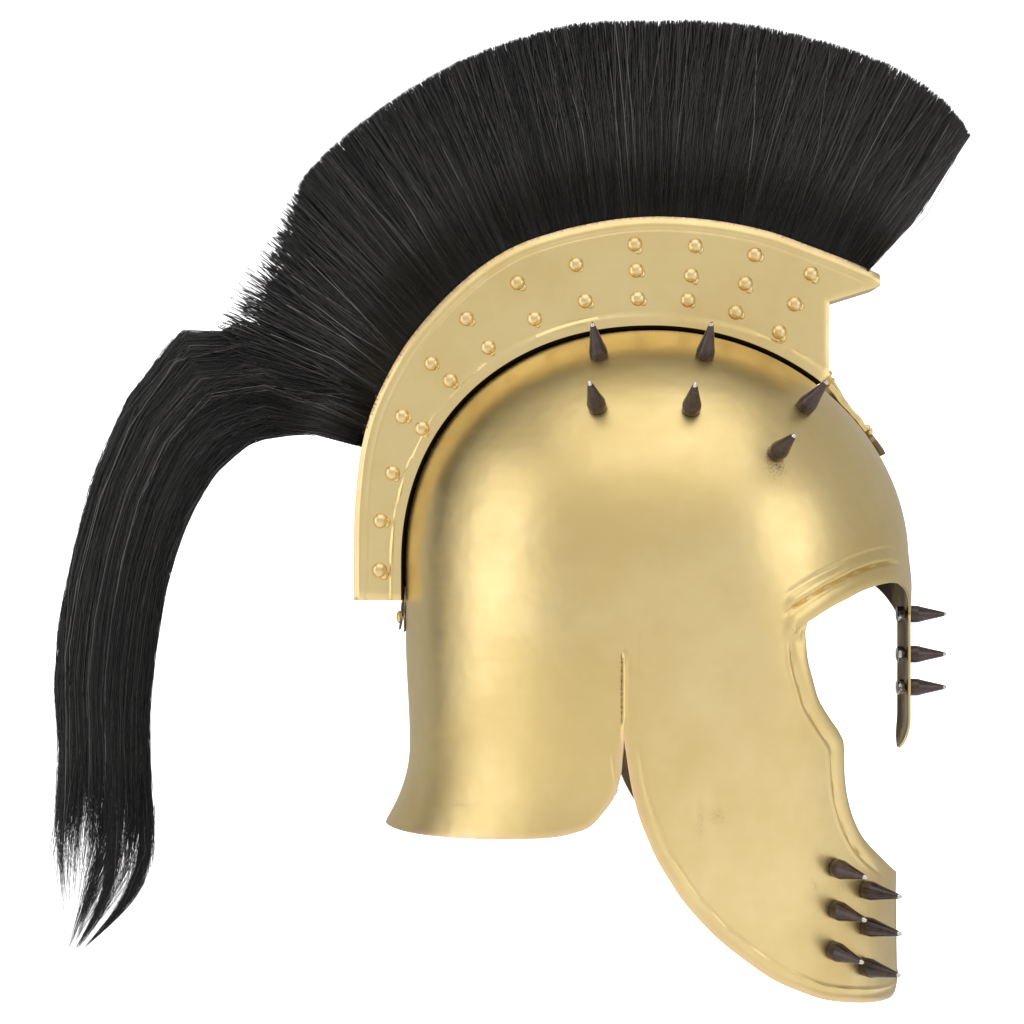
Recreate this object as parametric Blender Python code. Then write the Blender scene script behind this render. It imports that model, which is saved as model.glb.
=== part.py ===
"""Crested Greek helmet of sheet brass: skull with nasal, cheek plates and neck guard, a riveted
crest holder on two brackets, a cropped hair brush with a long tail, and screwed-on spikes.

Metres, +Z up. The face looks along -Y. The origin is the inner apex of the skull. Outlines are
written as forward (along -Y) and drop (down from the outer apex).
"""

import math

import bmesh
import bpy
from mathutils import Matrix, Vector
from mathutils.bvhtree import BVHTree

# Skull
WALL = 0.0012
BACK_REACH = 0.122
FRONT_REACH = 0.127
HALF_WIDTH = 0.105
WIDEST_FORWARD = 0.015
DOME_HEIGHT = 0.1162
RING_DROP = 0.100
BACK_FULLNESS = 2.15
FRONT_FULLNESS = 2.0

# Face and cheek plates
BROW_STEP = 0.002
BROW_DROP = 0.1231
EYE_CORNER_FORWARD = 0.0621
EYE_CORNER_DROP = 0.1389
CHEEK_DROP = 0.3245
CHEEK_FRONT_FORWARD = 0.1195
CHEEK_FRONT_LEAN = 0.0022
CHEEK_FRONT_TOP_DROP = 0.2642
CHEEK_CORNER_CUT = 0.0040
CHEEK_DRAW_IN = 0.0044
CHEEK_TAPER = 0.13

# Nasal
NASAL_HALF_WIDTH = 0.0125
NASAL_ROOT_DROP = 0.142
NASAL_DROP = 0.2080
NASAL_ROUND_LENGTH = 0.016
NASAL_CURL = 0.0045

# Neck guard
NOTCH_FORWARD = -0.0195
NOTCH_DROP = 0.1908
NECK_DROP = 0.2462
NECK_CORNER_FORWARD = -0.0308
NECK_CORNER_DROP = 0.2268
FLARE_REACH = 0.0135
FLARE_HEIGHT = 0.041
NECK_NIP = 0.002

# Crest holder
HOLDER_GAP = 0.0016
HOLDER_HALF_WIDTH = 0.014
HOLDER_HEIGHT = 0.055
HOLDER_PLATE = 0.0012
HOLDER_FRONT_FORWARD = 0.0873
HOLDER_TOE_DROP = 0.0227
BEAK_REACH = 0.1124
BEAK_RISE = 0.0271
BEAK_END = 0.006
BEAK_ROOT_RISE = 0.0133
REAR_ANGLE = -6.8
TOE_ANGLE = 132.8

# Studs
STUD_RADIUS = 0.0036
STUD_RISE = 0.0024
STUD_SHANK_RADIUS = 0.0012

# Spikes
SPIKE_RADIUS = 0.0043
SPIKE_LENGTH = 0.019
SPIKE_COLLAR = 0.0048
SPIKE_TIP_RADIUS = 0.0007
SPIKE_SHANK_RADIUS = 0.0015
SPIKE_HEAD_RADIUS = 0.0040
SPIKE_HEAD_HEIGHT = 0.0036

# Brackets
STRAP_HALF_WIDTH = 0.007
STRAP_THICKNESS = 0.0020
STRAP_END_DROP = 0.0495
STRAP_CLIP_LENGTH = 0.0120
STRAP_CLIP_THICKNESS = 0.0034
BRACKET_HALF_WIDTH = 0.007
BRACKET_THICKNESS = 0.0018
BRACKET_END_DROP = 0.1500
SCREW_DROP = 0.1426
SCREW_RADIUS = 0.0024
SCREW_RISE = 0.0014

# Crest hair
BRUSH_REAR_ANGLE = 31.4
TAIL_REAR_ANGLE = 21.8
BRUSH_FRONT_ANGLE = 126.3
BLOCK_DEPTH = 0.0100
BRUSH_RADIUS = 0.2500
BRUSH_TIP_HALF_WIDTH = 0.018
BRUSH_LOCKS = 14
LOCK_GROOVE_DEPTH = 0.0030
TAIL_REACH = 0.2980
TAIL_DROP = 0.3080
TAIL_HALF_DEPTH = 0.019
TAIL_LOCKS = 5
TAIL_SQUARENESS = 0.7

# Clearances
GAP = 0.0003
SEAT_GAP = 0.0005

# Angle in degrees above the rear horizontal about the dome's centre, plate height share
HOLDER_PROFILE = (
    (-6.8, 0.427),
    (8.6, 0.445),
    (21.6, 0.540),
    (30.9, 0.618),
    (42.9, 0.718),
    (56.9, 0.842),
    (69.7, 0.931),
    (88.0, 0.976),
    (106.2, 1.000),
    (122.2, 1.045),
)

# Angle in degrees, stud heights as shares of the plate height there
STUD_STATIONS = (
    (-1.1, (0.445,)),
    (9.2, (0.465,)),
    (19.5, (0.385,)),
    (30.7, (0.210, 0.550)),
    (42.4, (0.275, 0.595)),
    (53.0, (0.260, 0.660)),
    (64.5, (0.275, 0.675)),
    (75.8, (0.290, 0.645)),
    (86.9, (0.250, 0.510, 0.750)),
    (97.7, (0.250, 0.475, 0.745)),
    (108.3, (0.220, 0.490, 0.760)),
    (118.6, (0.185, 0.460, 0.760)),
)

# Rear and lower edge of a cheek plate: forward and drop shares of its length and height
CHEEK_EDGE = (
    (0.000, 0.000),
    (0.018, 0.133),
    (0.050, 0.266),
    (0.104, 0.397),
    (0.184, 0.530),
    (0.302, 0.665),
    (0.478, 0.805),
    (0.654, 0.893),
    (0.820, 0.950),
    (0.930, 0.985),
    (0.975, 1.000),
)
CHEEK_EDGE_TURN = 5

# Eye and mouth cut, from the eye corner to the top of the mouth edge: forward and drop shares
EYE_CUT = (
    (0.000, 0.000),
    (-0.002, 0.134),
    (0.094, 0.278),
    (0.268, 0.391),
    (0.326, 0.457),
    (0.341, 0.574),
    (0.437, 0.727),
    (0.556, 0.812),
    (0.794, 0.917),
    (1.000, 1.000),
)

# Brow edge, from the eye corner to the nasal: forward share of the run, rise share above the corner
BROW_EDGE = (
    (0.000, 0.000),
    (0.164, 0.373),
    (0.280, 0.582),
    (0.402, 0.791),
    (0.530, 0.937),
    (0.652, 1.000),
    (0.757, 0.995),
    (0.850, 0.930),
    (0.925, 0.750),
    (0.975, 0.400),
)

# Lower rim of the neck guard, from the front corner to the back: forward share, drop share
NECK_RIM = (
    (0.000, 0.000),
    (0.060, 0.210),
    (0.135, 0.370),
    (0.260, 0.500),
    (0.480, 0.640),
    (0.720, 0.790),
    (0.880, 0.900),
    (1.000, 1.000),
)

# Skull spikes: forward share of the front reach, drop share of the dome height
SKULL_SPIKES = (
    (-0.217, 0.149),
    (-0.235, 0.369),
    (0.165, 0.154),
    (0.092, 0.380),
    (0.527, 0.362),
    (0.391, 0.549),
)

# Cheek spikes: forward share of the mouth edge's reach, drop share from the mouth edge's top down
CHEEK_SPIKES = (
    (0.639, -0.232),
    (0.776, -0.012),
    (0.641, 0.085),
    (0.781, 0.274),
    (0.635, 0.395),
    (0.780, 0.589),
)

# Nasal spikes: share of the way from the nasal's root to its end
NASAL_SPIKES = (-0.012, 0.291, 0.541)

# Hair tips: angle in degrees, radius share
BRUSH_OUTLINE = (
    (31.3, 0.999),
    (39.5, 1.002),
    (44.5, 1.020),
    (50.0, 1.035),
    (60.1, 1.051),
    (68.4, 1.064),
    (81.5, 1.079),
    (90.6, 1.073),
    (99.7, 1.082),
    (109.1, 1.088),
    (115.1, 1.092),
    (119.3, 1.089),
    (122.6, 1.080),
    (125.0, 1.064),
    (126.3, 1.052),
)

# The tail beside the brush: share of the way to the brush's tips, inner back and drop shares
TAIL_ROOT_SECTIONS = (
    (0.09, 0.510, 0.181, 0.50),
    (0.30, 0.547, 0.169, 0.58),
    (0.50, 0.587, 0.160, 0.66),
    (0.70, 0.624, 0.161, 0.76),
    (0.86, 0.651, 0.167, 0.86),
)

# The hanging tail: outer back and drop shares, inner back and drop shares, depth share
TAIL_SECTIONS = (
    (0.746, -0.031, 0.678, 0.182, 0.92),
    (0.805, 0.0136, 0.705, 0.201, 0.95),
    (0.859, 0.0786, 0.735, 0.234, 1.00),
    (0.894, 0.144, 0.762, 0.271, 1.00),
    (0.923, 0.208, 0.779, 0.312, 1.00),
    (0.946, 0.273, 0.792, 0.347, 1.00),
    (0.963, 0.338, 0.805, 0.383, 1.00),
    (0.977, 0.403, 0.815, 0.422, 1.00),
    (0.990, 0.468, 0.824, 0.474, 0.98),
    (0.997, 0.533, 0.831, 0.536, 0.95),
    (0.998, 0.598, 0.841, 0.601, 0.91),
    (0.987, 0.663, 0.844, 0.662, 0.86),
    (0.987, 0.728, 0.836, 0.727, 0.80),
    (0.997, 0.793, 0.837, 0.792, 0.72),
    (0.987, 0.858, 0.842, 0.857, 0.60),
    (0.970, 0.903, 0.856, 0.899, 0.48),
    (0.966, 0.948, 0.893, 0.945, 0.34),
    (0.970, 0.990, 0.936, 0.987, 0.18),
)

BRASS = (0.83, 0.68, 0.36)
SPIKE_BROWN = (0.13, 0.09, 0.08)
HAIR_BLACK = (0.012, 0.012, 0.013)
BRACKET_BROWN = (0.20, 0.16, 0.12)

# Mesh steps
BACK_COLUMNS = 7
CHEEK_COLUMNS = 7
BROW_COLUMNS = 6
NASAL_COLUMNS = 2
DOME_ROWS = 6
SLIT_ROWS = 4
NECK_ROWS = 4
REAR_EDGE_ROWS = 9
BROW_ROWS = 3
NASAL_ROWS = 5
HOLDER_STEPS = 16
SPIKE_SIDES = 8
STUD_SIDES = 6


def clear_scene():
    for obj in list(bpy.data.objects):
        bpy.data.objects.remove(obj, do_unlink=True)


def mix(a, b, share):
    return a + (b - a) * share


def smooth(x):
    x = min(1.0, max(0.0, x))
    return x * x * (3.0 - 2.0 * x)


def side_view(forward, drop, side=0.0):
    return Vector((side, -forward, WALL - drop))


def resample(points, steps):
    """Evenly spaced points on a Catmull-Rom curve through the points, of any dimension."""
    points = [Vector(p) for p in points]
    ends = [2 * points[0] - points[1]] + points + [2 * points[-1] - points[-2]]
    fine = []
    per_span = 16
    for before, a, b, after in zip(ends, ends[1:], ends[2:], ends[3:]):
        for i in range(per_span):
            t = i / per_span
            bend = (b - before) * t + (2 * before - 5 * a + 4 * b - after) * t * t
            bend += (3 * a - before - 3 * b + after) * t * t * t
            fine.append(a + bend / 2)
    fine.append(points[-1])
    lengths = [0.0]
    for a, b in zip(fine, fine[1:]):
        lengths.append(lengths[-1] + (b - a).length)
    found = []
    at = 0
    for i in range(steps + 1):
        wanted = lengths[-1] * i / steps
        while at < len(fine) - 2 and lengths[at + 1] < wanted:
            at += 1
        run = lengths[at + 1] - lengths[at]
        share = (wanted - lengths[at]) / run if run else 0.0
        found.append(fine[at].lerp(fine[at + 1], min(1.0, share)))
    return found


def from_table(table, x):
    """Smoothly interpolated second column of a two-column table."""
    for (x0, y0), (x1, y1) in zip(table, table[1:]):
        if x <= x1:
            return mix(y0, y1, max(0.0, (x - x0) / (x1 - x0)))
    return table[-1][1]


def front_reach(drop):
    step = BROW_STEP * smooth((drop - 0.93 * DOME_HEIGHT) / (0.17 * DOME_HEIGHT))
    run = 0.59 * (CHEEK_DROP - NASAL_ROOT_DROP)
    return FRONT_REACH + step - CHEEK_DRAW_IN * smooth((drop - NASAL_ROOT_DROP) / run)


def back_reach(drop):
    run = NECK_DROP - FLARE_HEIGHT - NOTCH_DROP * 0.79
    return BACK_REACH - NECK_NIP * smooth((drop - NOTCH_DROP * 0.79) / run)


def half_width(drop):
    share = max(0.0, (drop - DOME_HEIGHT) / (CHEEK_DROP - DOME_HEIGHT))
    return HALF_WIDTH * (1.0 - CHEEK_TAPER * share * share)


def plan_powers(drop):
    """Round in plan over the dome, and drawn to a blunt wedge at the cheek plates."""
    share = smooth((drop - 0.9 * RING_DROP) / (NOTCH_DROP - 0.8 * RING_DROP))
    return 2.0 + share, 0.5 + 0.3 * share


def dome_scale(drop, turn):
    if drop >= DOME_HEIGHT:
        return 1.0
    power = mix(BACK_FULLNESS, FRONT_FULLNESS, smooth(turn))
    rise = (DOME_HEIGHT - drop) / DOME_HEIGHT
    return max(0.0, 1.0 - rise**power) ** (1.0 / power)


def flare(turn, drop):
    rise = max(0.0, (drop - NECK_DROP + FLARE_HEIGHT) / FLARE_HEIGHT)
    edge = turn_at(NOTCH_FORWARD, NOTCH_DROP)
    if turn > edge:
        return 0.0
    return FLARE_REACH * rise * rise * (1.0 - 0.75 * turn / edge)


def plan(turn, drop):
    """(forward, side) of the outer face: turn is 0 at the back, 1 at the front mid-line."""
    scale = dome_scale(drop, turn)
    width = half_width(drop)
    if turn <= 0.5:
        angle = turn * math.pi
        back = back_reach(drop) + WIDEST_FORWARD
        forward = WIDEST_FORWARD - back * math.cos(angle)
        side = width * math.sin(angle)
        out = flare(turn, drop)
        return scale * forward - out * math.cos(angle), scale * side + out * math.sin(angle)
    across = math.sin((turn - 0.5) * math.pi)
    power, root = plan_powers(drop)
    forward = WIDEST_FORWARD + (front_reach(drop) - WIDEST_FORWARD) * across
    side = width * max(0.0, 1.0 - across**power) ** root
    return scale * forward, scale * side


def turn_at(forward, drop):
    """The turn at which the outer face is this far forward, at a drop below the ring."""
    forward = forward / dome_scale(drop, 0.5)
    if forward <= WIDEST_FORWARD:
        share = (WIDEST_FORWARD - forward) / (back_reach(drop) + WIDEST_FORWARD)
        return math.acos(min(1.0, share)) / math.pi
    share = (forward - WIDEST_FORWARD) / (front_reach(drop) - WIDEST_FORWARD)
    return 0.5 + math.asin(min(1.0, share)) / math.pi


def turn_at_side(side, drop):
    """The turn near the front mid-line at which the outer face is this far to the side."""
    power, root = plan_powers(drop)
    share = side / (half_width(drop) * dome_scale(drop, 1.0))
    across = max(0.0, 1.0 - share ** (1.0 / root)) ** (1.0 / power)
    return 0.5 + math.asin(across) / math.pi


def shell_point(turn, drop, hand=-1):
    forward, side = plan(turn, drop)
    return side_view(forward, drop, hand * side)


def shell_seat(forward, drop, hand):
    """Point and outward normal of the outer face at a place named from the side."""
    turn = turn_at(forward, drop)
    step = 1e-4
    point = shell_point(turn, drop, hand)
    along = shell_point(turn + step, drop, hand) - shell_point(turn - step, drop, hand)
    down = shell_point(turn, drop + step, hand) - shell_point(turn, drop - step, hand)
    normal = along.cross(down).normalized()
    outward = Vector((point.x, point.y, max(0.0, point.z + DOME_HEIGHT)))
    return point, normal if normal.dot(outward) > 0 else -normal


def nasal_half_width(drop):
    into = max(0.0, drop - NASAL_DROP + NASAL_ROUND_LENGTH) / NASAL_ROUND_LENGTH
    return NASAL_HALF_WIDTH * (1.0 - 0.62 * min(1.0, into) ** 2)


def nasal_point(share, drop):
    """A point of the nasal: share is 0 at its edge and 1 on the mid-line."""
    side = nasal_half_width(drop) * (1.0 - share)
    level = min(drop, NASAL_ROOT_DROP)
    if side > 0.0:
        forward = plan(turn_at_side(side, level), level)[0]
    else:
        forward = dome_scale(level, 1.0) * front_reach(level)
    into = max(0.0, drop - NASAL_DROP + NASAL_ROUND_LENGTH) / NASAL_ROUND_LENGTH
    return side_view(forward - NASAL_CURL * into * into, drop, -side)


def coons(top, bottom, left, right, column, row):
    """Point of the patch between four rows of points, which share their corners."""
    u = column / (len(top) - 1)
    v = row / (len(left) - 1)
    across = left[row].lerp(right[row], u)
    down = top[column].lerp(bottom[column], v)
    corners = top[0].lerp(top[-1], u).lerp(bottom[0].lerp(bottom[-1], u), v)
    return across + down - corners


def add_sheet(bm, columns, rows, place):
    """A grid whose vertex at a column and row goes where place says."""
    made = bmesh.ops.create_grid(bm, x_segments=columns, y_segments=rows, size=0.5)
    for vertex in made["verts"]:
        column = round((vertex.co.x + 0.5) * columns)
        row = round((0.5 - vertex.co.y) * rows)
        vertex.co = place(column, row)


def turned(points):
    """(forward, drop) points as (turn, drop)."""
    return [Vector((turn_at(f, d), d)) for f, d in points]


def down_line(turn_of, start, end, rows):
    drops = [mix(start, end, i / rows) for i in range(rows + 1)]
    return [Vector((turn_of(drop), drop)) for drop in drops]


def ring_stations():
    """Turns of the columns on the ring: back to slit, slit to eye corner, eye corner to nasal."""
    slit = turn_at(NOTCH_FORWARD, RING_DROP)
    corner = turn_at(EYE_CORNER_FORWARD, RING_DROP)
    nasal = turn_at_side(NASAL_HALF_WIDTH, RING_DROP)
    back = [mix(0.0, slit, i / BACK_COLUMNS) for i in range(BACK_COLUMNS + 1)]
    cheek = [mix(slit, corner, i / CHEEK_COLUMNS) for i in range(CHEEK_COLUMNS + 1)]
    brow = [mix(corner, nasal, i / BROW_COLUMNS) for i in range(BROW_COLUMNS + 1)]
    return back, cheek, brow


def add_dome(bm, stations):
    """The dome above the ring, as one sheet from its columns up to the apex."""
    ring_angle = math.acos(RING_DROP / DOME_HEIGHT)

    def place(column, row):
        angle = mix(math.pi / 2, ring_angle, row / DOME_ROWS)
        drop = DOME_HEIGHT * (1.0 - math.sin(angle))
        drop = min(RING_DROP, drop * RING_DROP / (DOME_HEIGHT * (1.0 - math.sin(ring_angle))))
        return shell_point(stations[column], drop)

    add_sheet(bm, len(stations) - 1, DOME_ROWS, place)


def add_patch(bm, top, bottom, left, right):
    columns = len(top) - 1
    rows = len(left) - 1
    add_sheet(
        bm,
        columns,
        rows,
        lambda column, row: shell_point(*coons(top, bottom, left, right, column, row)),
    )


def on_ring(stations):
    return [Vector((turn, RING_DROP)) for turn in stations]


def slit_line():
    return down_line(lambda drop: turn_at(NOTCH_FORWARD, drop), RING_DROP, NOTCH_DROP, SLIT_ROWS)


def add_neck_guard(bm, stations):
    run = -BACK_REACH - NECK_CORNER_FORWARD
    fall = NECK_DROP - NECK_CORNER_DROP
    rim = [(NECK_CORNER_FORWARD + f * run, NECK_CORNER_DROP + d * fall) for f, d in NECK_RIM]
    bottom = resample(turned(rim), BACK_COLUMNS)[::-1]
    front = [
        (NOTCH_FORWARD, NOTCH_DROP),
        (mix(NOTCH_FORWARD, NECK_CORNER_FORWARD, 0.12), mix(NOTCH_DROP, NECK_CORNER_DROP, 0.45)),
        (mix(NOTCH_FORWARD, NECK_CORNER_FORWARD, 0.42), mix(NOTCH_DROP, NECK_CORNER_DROP, 0.78)),
        (NECK_CORNER_FORWARD, NECK_CORNER_DROP),
    ]
    right = slit_line() + resample(turned(front), NECK_ROWS)[1:]
    upper = down_line(lambda drop: 0.0, RING_DROP, NOTCH_DROP, SLIT_ROWS)
    left = upper + down_line(lambda drop: 0.0, NOTCH_DROP, NECK_DROP, NECK_ROWS)[1:]
    bottom[0] = left[-1]
    bottom[-1] = right[-1]
    add_patch(bm, on_ring(stations), bottom, left, right)


def cheek_outline():
    """(rear edge, lower edge) of a cheek plate as (turn, drop) points."""
    length = CHEEK_FRONT_FORWARD - NOTCH_FORWARD
    height = CHEEK_DROP - NOTCH_DROP
    edge = [(NOTCH_FORWARD + f * length, NOTCH_DROP + d * height) for f, d in CHEEK_EDGE]
    edge.append((CHEEK_FRONT_FORWARD, CHEEK_DROP - CHEEK_CORNER_CUT))
    rear = resample(turned(edge[: CHEEK_EDGE_TURN + 1]), REAR_EDGE_ROWS)
    lower = resample(turned(edge[CHEEK_EDGE_TURN:]), CHEEK_COLUMNS)
    return rear, lower


def eye_cut():
    """The eye and mouth cut and the mouth edge below it, from the eye corner down."""
    top = CHEEK_FRONT_FORWARD - CHEEK_FRONT_LEAN
    end = CHEEK_DROP - CHEEK_CORNER_CUT
    run = top - EYE_CORNER_FORWARD
    fall = CHEEK_FRONT_TOP_DROP - EYE_CORNER_DROP
    cut = [(EYE_CORNER_FORWARD + f * run, EYE_CORNER_DROP + d * fall) for f, d in EYE_CUT]
    rows = SLIT_ROWS + REAR_EDGE_ROWS - BROW_ROWS - len(EYE_CUT) + 1
    mouth = []
    for i in range(1, rows + 1):
        forward = mix(top, CHEEK_FRONT_FORWARD, i / rows)
        mouth.append((forward, mix(CHEEK_FRONT_TOP_DROP, end, i / rows)))
    return turned(cut + mouth)


def eye_corner_line():
    return down_line(
        lambda drop: turn_at(EYE_CORNER_FORWARD, drop), RING_DROP, EYE_CORNER_DROP, BROW_ROWS
    )


def add_cheek(bm, stations):
    rear, lower = cheek_outline()
    left = slit_line() + rear[1:]
    right = eye_corner_line()[:-1] + eye_cut()
    lower[0] = left[-1]
    lower[-1] = right[-1]
    add_patch(bm, on_ring(stations), lower, left, right)


def nasal_edge_line(rows):
    return down_line(
        lambda drop: turn_at_side(NASAL_HALF_WIDTH, drop), RING_DROP, NASAL_ROOT_DROP, rows
    )


def add_brow(bm, stations):
    right = nasal_edge_line(BROW_ROWS)
    end = plan(*right[-1])[0]
    run = end - EYE_CORNER_FORWARD
    rise = EYE_CORNER_DROP - BROW_DROP
    edge = [(EYE_CORNER_FORWARD + f * run, EYE_CORNER_DROP - r * rise) for f, r in BROW_EDGE]
    bottom = resample(turned(edge) + [right[-1]], BROW_COLUMNS)
    left = eye_corner_line()
    bottom[0] = left[-1]
    bottom[-1] = right[-1]
    add_patch(bm, on_ring(stations), bottom, left, right)


def add_nasal(bm):
    upper = [mix(RING_DROP, NASAL_ROOT_DROP, i / BROW_ROWS) for i in range(BROW_ROWS + 1)]
    straight = NASAL_DROP - NASAL_ROUND_LENGTH
    rows = NASAL_ROWS - 3
    lower = [mix(NASAL_ROOT_DROP, straight, (i + 1) / rows) for i in range(rows)]
    end = [straight + NASAL_ROUND_LENGTH * share for share in (0.5, 0.82, 1.0)]
    drops = upper + lower + end

    def place(column, row):
        return nasal_point(column / NASAL_COLUMNS, drops[row])

    add_sheet(bm, NASAL_COLUMNS, len(drops) - 1, place)


def add_nasal_dome(bm):
    """The narrow stretch of dome over the nasal, whose columns meet the nasal's."""
    first = turn_at_side(NASAL_HALF_WIDTH, RING_DROP)
    half = turn_at_side(NASAL_HALF_WIDTH / NASAL_COLUMNS, RING_DROP)
    add_dome(bm, [first, half, 1.0])


def shell_sheet():
    """The outer face of the whole shell, right half first and then its mirror image."""
    bm = bmesh.new()
    back, cheek, brow = ring_stations()
    for stations in (back, cheek, brow):
        add_dome(bm, stations)
    add_nasal_dome(bm)
    add_neck_guard(bm, back)
    add_cheek(bm, cheek)
    add_brow(bm, brow)
    add_nasal(bm)
    weld = 2e-5
    bmesh.ops.remove_doubles(bm, verts=bm.verts, dist=weld)
    mirrored = bmesh.ops.duplicate(bm, geom=bm.verts[:] + bm.edges[:] + bm.faces[:])
    copies = [item for item in mirrored["geom"] if isinstance(item, bmesh.types.BMVert)]
    bmesh.ops.scale(bm, vec=(-1, 1, 1), verts=copies)
    bmesh.ops.remove_doubles(bm, verts=bm.verts, dist=weld)
    bmesh.ops.recalc_face_normals(bm, faces=bm.faces)
    top = max(bm.faces, key=lambda face: face.calc_center_median().z)
    if top.normal.z < 0:
        bmesh.ops.reverse_faces(bm, faces=bm.faces)
    return bm


def thicken(bm, wall):
    """Closes the sheet into a body with an inner face one wall inside the outer one."""
    faces = bm.faces[:]
    open_edges = [edge for edge in bm.edges if edge.is_boundary]
    inner = {vertex: bm.verts.new(vertex.co - wall * vertex.normal) for vertex in bm.verts[:]}
    for face in faces:
        bm.faces.new([inner[vertex] for vertex in reversed(face.verts)])
    for edge in open_edges:
        loop = edge.link_loops[0]
        start = loop.vert
        end = loop.link_loop_next.vert
        bm.faces.new((end, start, inner[start], inner[end]))


def material(name, color, metallic, roughness):
    made = bpy.data.materials.new(name)
    made.use_nodes = True
    shader = made.node_tree.nodes["Principled BSDF"]
    shader.inputs["Base Color"].default_value = (*color, 1.0)
    shader.inputs["Metallic"].default_value = metallic
    shader.inputs["Roughness"].default_value = roughness
    made.diffuse_color = (*color, 1.0)
    return made


def add_object(name, bm, finish=None, parent=None):
    mesh = bpy.data.meshes.new(name)
    bm.to_mesh(mesh)
    bm.free()
    mesh.shade_smooth()
    mesh.set_sharp_from_angle(angle=math.radians(35))
    if finish:
        mesh.materials.append(finish)
    obj = bpy.data.objects.new(name, mesh)
    bpy.context.collection.objects.link(obj)
    obj.parent = parent
    return obj


def as_cutter(obj):
    obj.hide_render = True
    obj.display_type = "WIRE"
    return obj


def cut(obj, cutter):
    modifier = obj.modifiers.new("Cut_" + cutter.name, "BOOLEAN")
    modifier.operation = "DIFFERENCE"
    modifier.solver = "EXACT"
    modifier.object = cutter


def turned_body(profile, sides):
    """A closed body turned about Z from (radius, height) points that run from top to bottom."""
    bm = bmesh.new()
    points = [bm.verts.new((radius, 0.0, height)) for radius, height in profile]
    edges = [bm.edges.new(pair) for pair in zip(points, points[1:])]
    bmesh.ops.spin(
        bm,
        geom=points + edges,
        cent=(0, 0, 0),
        axis=(0, 0, 1),
        angle=2 * math.pi,
        steps=sides,
        use_merge=True,
    )
    bmesh.ops.remove_doubles(bm, verts=bm.verts, dist=1e-6)
    bmesh.ops.holes_fill(bm, edges=[edge for edge in bm.edges if edge.is_boundary])
    bmesh.ops.recalc_face_normals(bm, faces=bm.faces)
    return bm


def add_shanks(bm, radius, length, sides, places):
    """Straight pins for cutting: places are (middle, direction)."""
    for middle, direction in places:
        turn = Vector((0, 0, 1)).rotation_difference(direction).to_matrix().to_4x4()
        bmesh.ops.create_cone(
            bm,
            cap_ends=True,
            segments=sides,
            radius1=radius,
            radius2=radius,
            depth=length,
            matrix=Matrix.Translation(middle) @ turn,
        )


def spike_places():
    """(name, seat point, outward direction) of each spike."""
    found = []
    for hand, side in ((-1, "right"), (1, "left")):
        for number, (forward, drop) in enumerate(SKULL_SPIKES, 1):
            seat = shell_seat(forward * FRONT_REACH, drop * DOME_HEIGHT, hand)
            found.append((f"skull_spike_{side}_{number}", *seat))
        for number, (forward, drop) in enumerate(CHEEK_SPIKES, 1):
            fall = mix(CHEEK_FRONT_TOP_DROP, CHEEK_DROP, drop)
            seat = shell_seat(forward * CHEEK_FRONT_FORWARD, fall, hand)
            found.append((f"cheek_spike_{side}_{number}", *seat))
    for number, share in enumerate(NASAL_SPIKES, 1):
        drop = mix(NASAL_ROOT_DROP, NASAL_DROP, share)
        found.append((f"nasal_spike_{number}", nasal_point(1.0, drop), Vector((0, -1, 0))))
    return found


def wall_range(tree, point, outward, radius):
    """Highest height of the outer face and lowest of the inner one, under a disc."""
    sideways = outward.orthogonal().normalized()
    across = outward.cross(sideways)
    reach = 2 * radius
    highest = -reach
    lowest = reach
    for share in (0.0, 0.4, 0.8, 1.1):
        for i in range(3 * SPIKE_SIDES):
            angle = math.pi * i / (1.5 * SPIKE_SIDES)
            arm = (sideways * math.cos(angle) + across * math.sin(angle)) * radius * share
            hit = tree.ray_cast(point + arm + outward * reach, -outward, 2 * reach)[0]
            if hit:
                highest = max(highest, (hit - point).dot(outward))
            hit = tree.ray_cast(point + arm - outward * reach, outward, 2 * reach)[0]
            if hit:
                lowest = min(lowest, (hit - point).dot(outward))
    return highest, lowest


def spike_mesh(highest, lowest):
    """A spike with its shank and the screw head inside the wall, about the seat point."""
    inner = lowest - SEAT_GAP
    profile = (
        (SPIKE_TIP_RADIUS, highest + SPIKE_LENGTH),
        (SPIKE_RADIUS, highest + SPIKE_COLLAR),
        (SPIKE_RADIUS, highest + GAP),
        (SPIKE_SHANK_RADIUS, highest + GAP),
        (SPIKE_SHANK_RADIUS, inner),
        (SPIKE_HEAD_RADIUS, inner),
        (SPIKE_HEAD_RADIUS, inner - SPIKE_HEAD_HEIGHT),
    )
    return turned_body(profile, SPIKE_SIDES)


def add_spikes(tree, finish):
    for name, point, outward in spike_places():
        body = spike_mesh(*wall_range(tree, point, outward, SPIKE_RADIUS))
        obj = add_object(name, body, finish)
        obj.location = point
        obj.rotation_mode = "QUATERNION"
        obj.rotation_quaternion = Vector((0, 0, 1)).rotation_difference(outward)


def add_shell(finish):
    """The helmet's wall; returns the tree of its faces, on which pieces are seated."""
    wall = shell_sheet()
    thicken(wall, WALL)
    tree = BVHTree.FromBMesh(wall)
    shell = add_object("helmet_shell", wall, finish)
    holes = bmesh.new()
    places = [(point, outward) for _, point, outward in spike_places()]
    places.append((side_view(-back_reach(SCREW_DROP), SCREW_DROP), Vector((0, 1, 0))))
    add_shanks(holes, SPIKE_SHANK_RADIUS + GAP, 8 * WALL, SPIKE_SIDES, places)
    cut(shell, as_cutter(add_object("shell_holes", holes)))
    return tree


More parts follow.
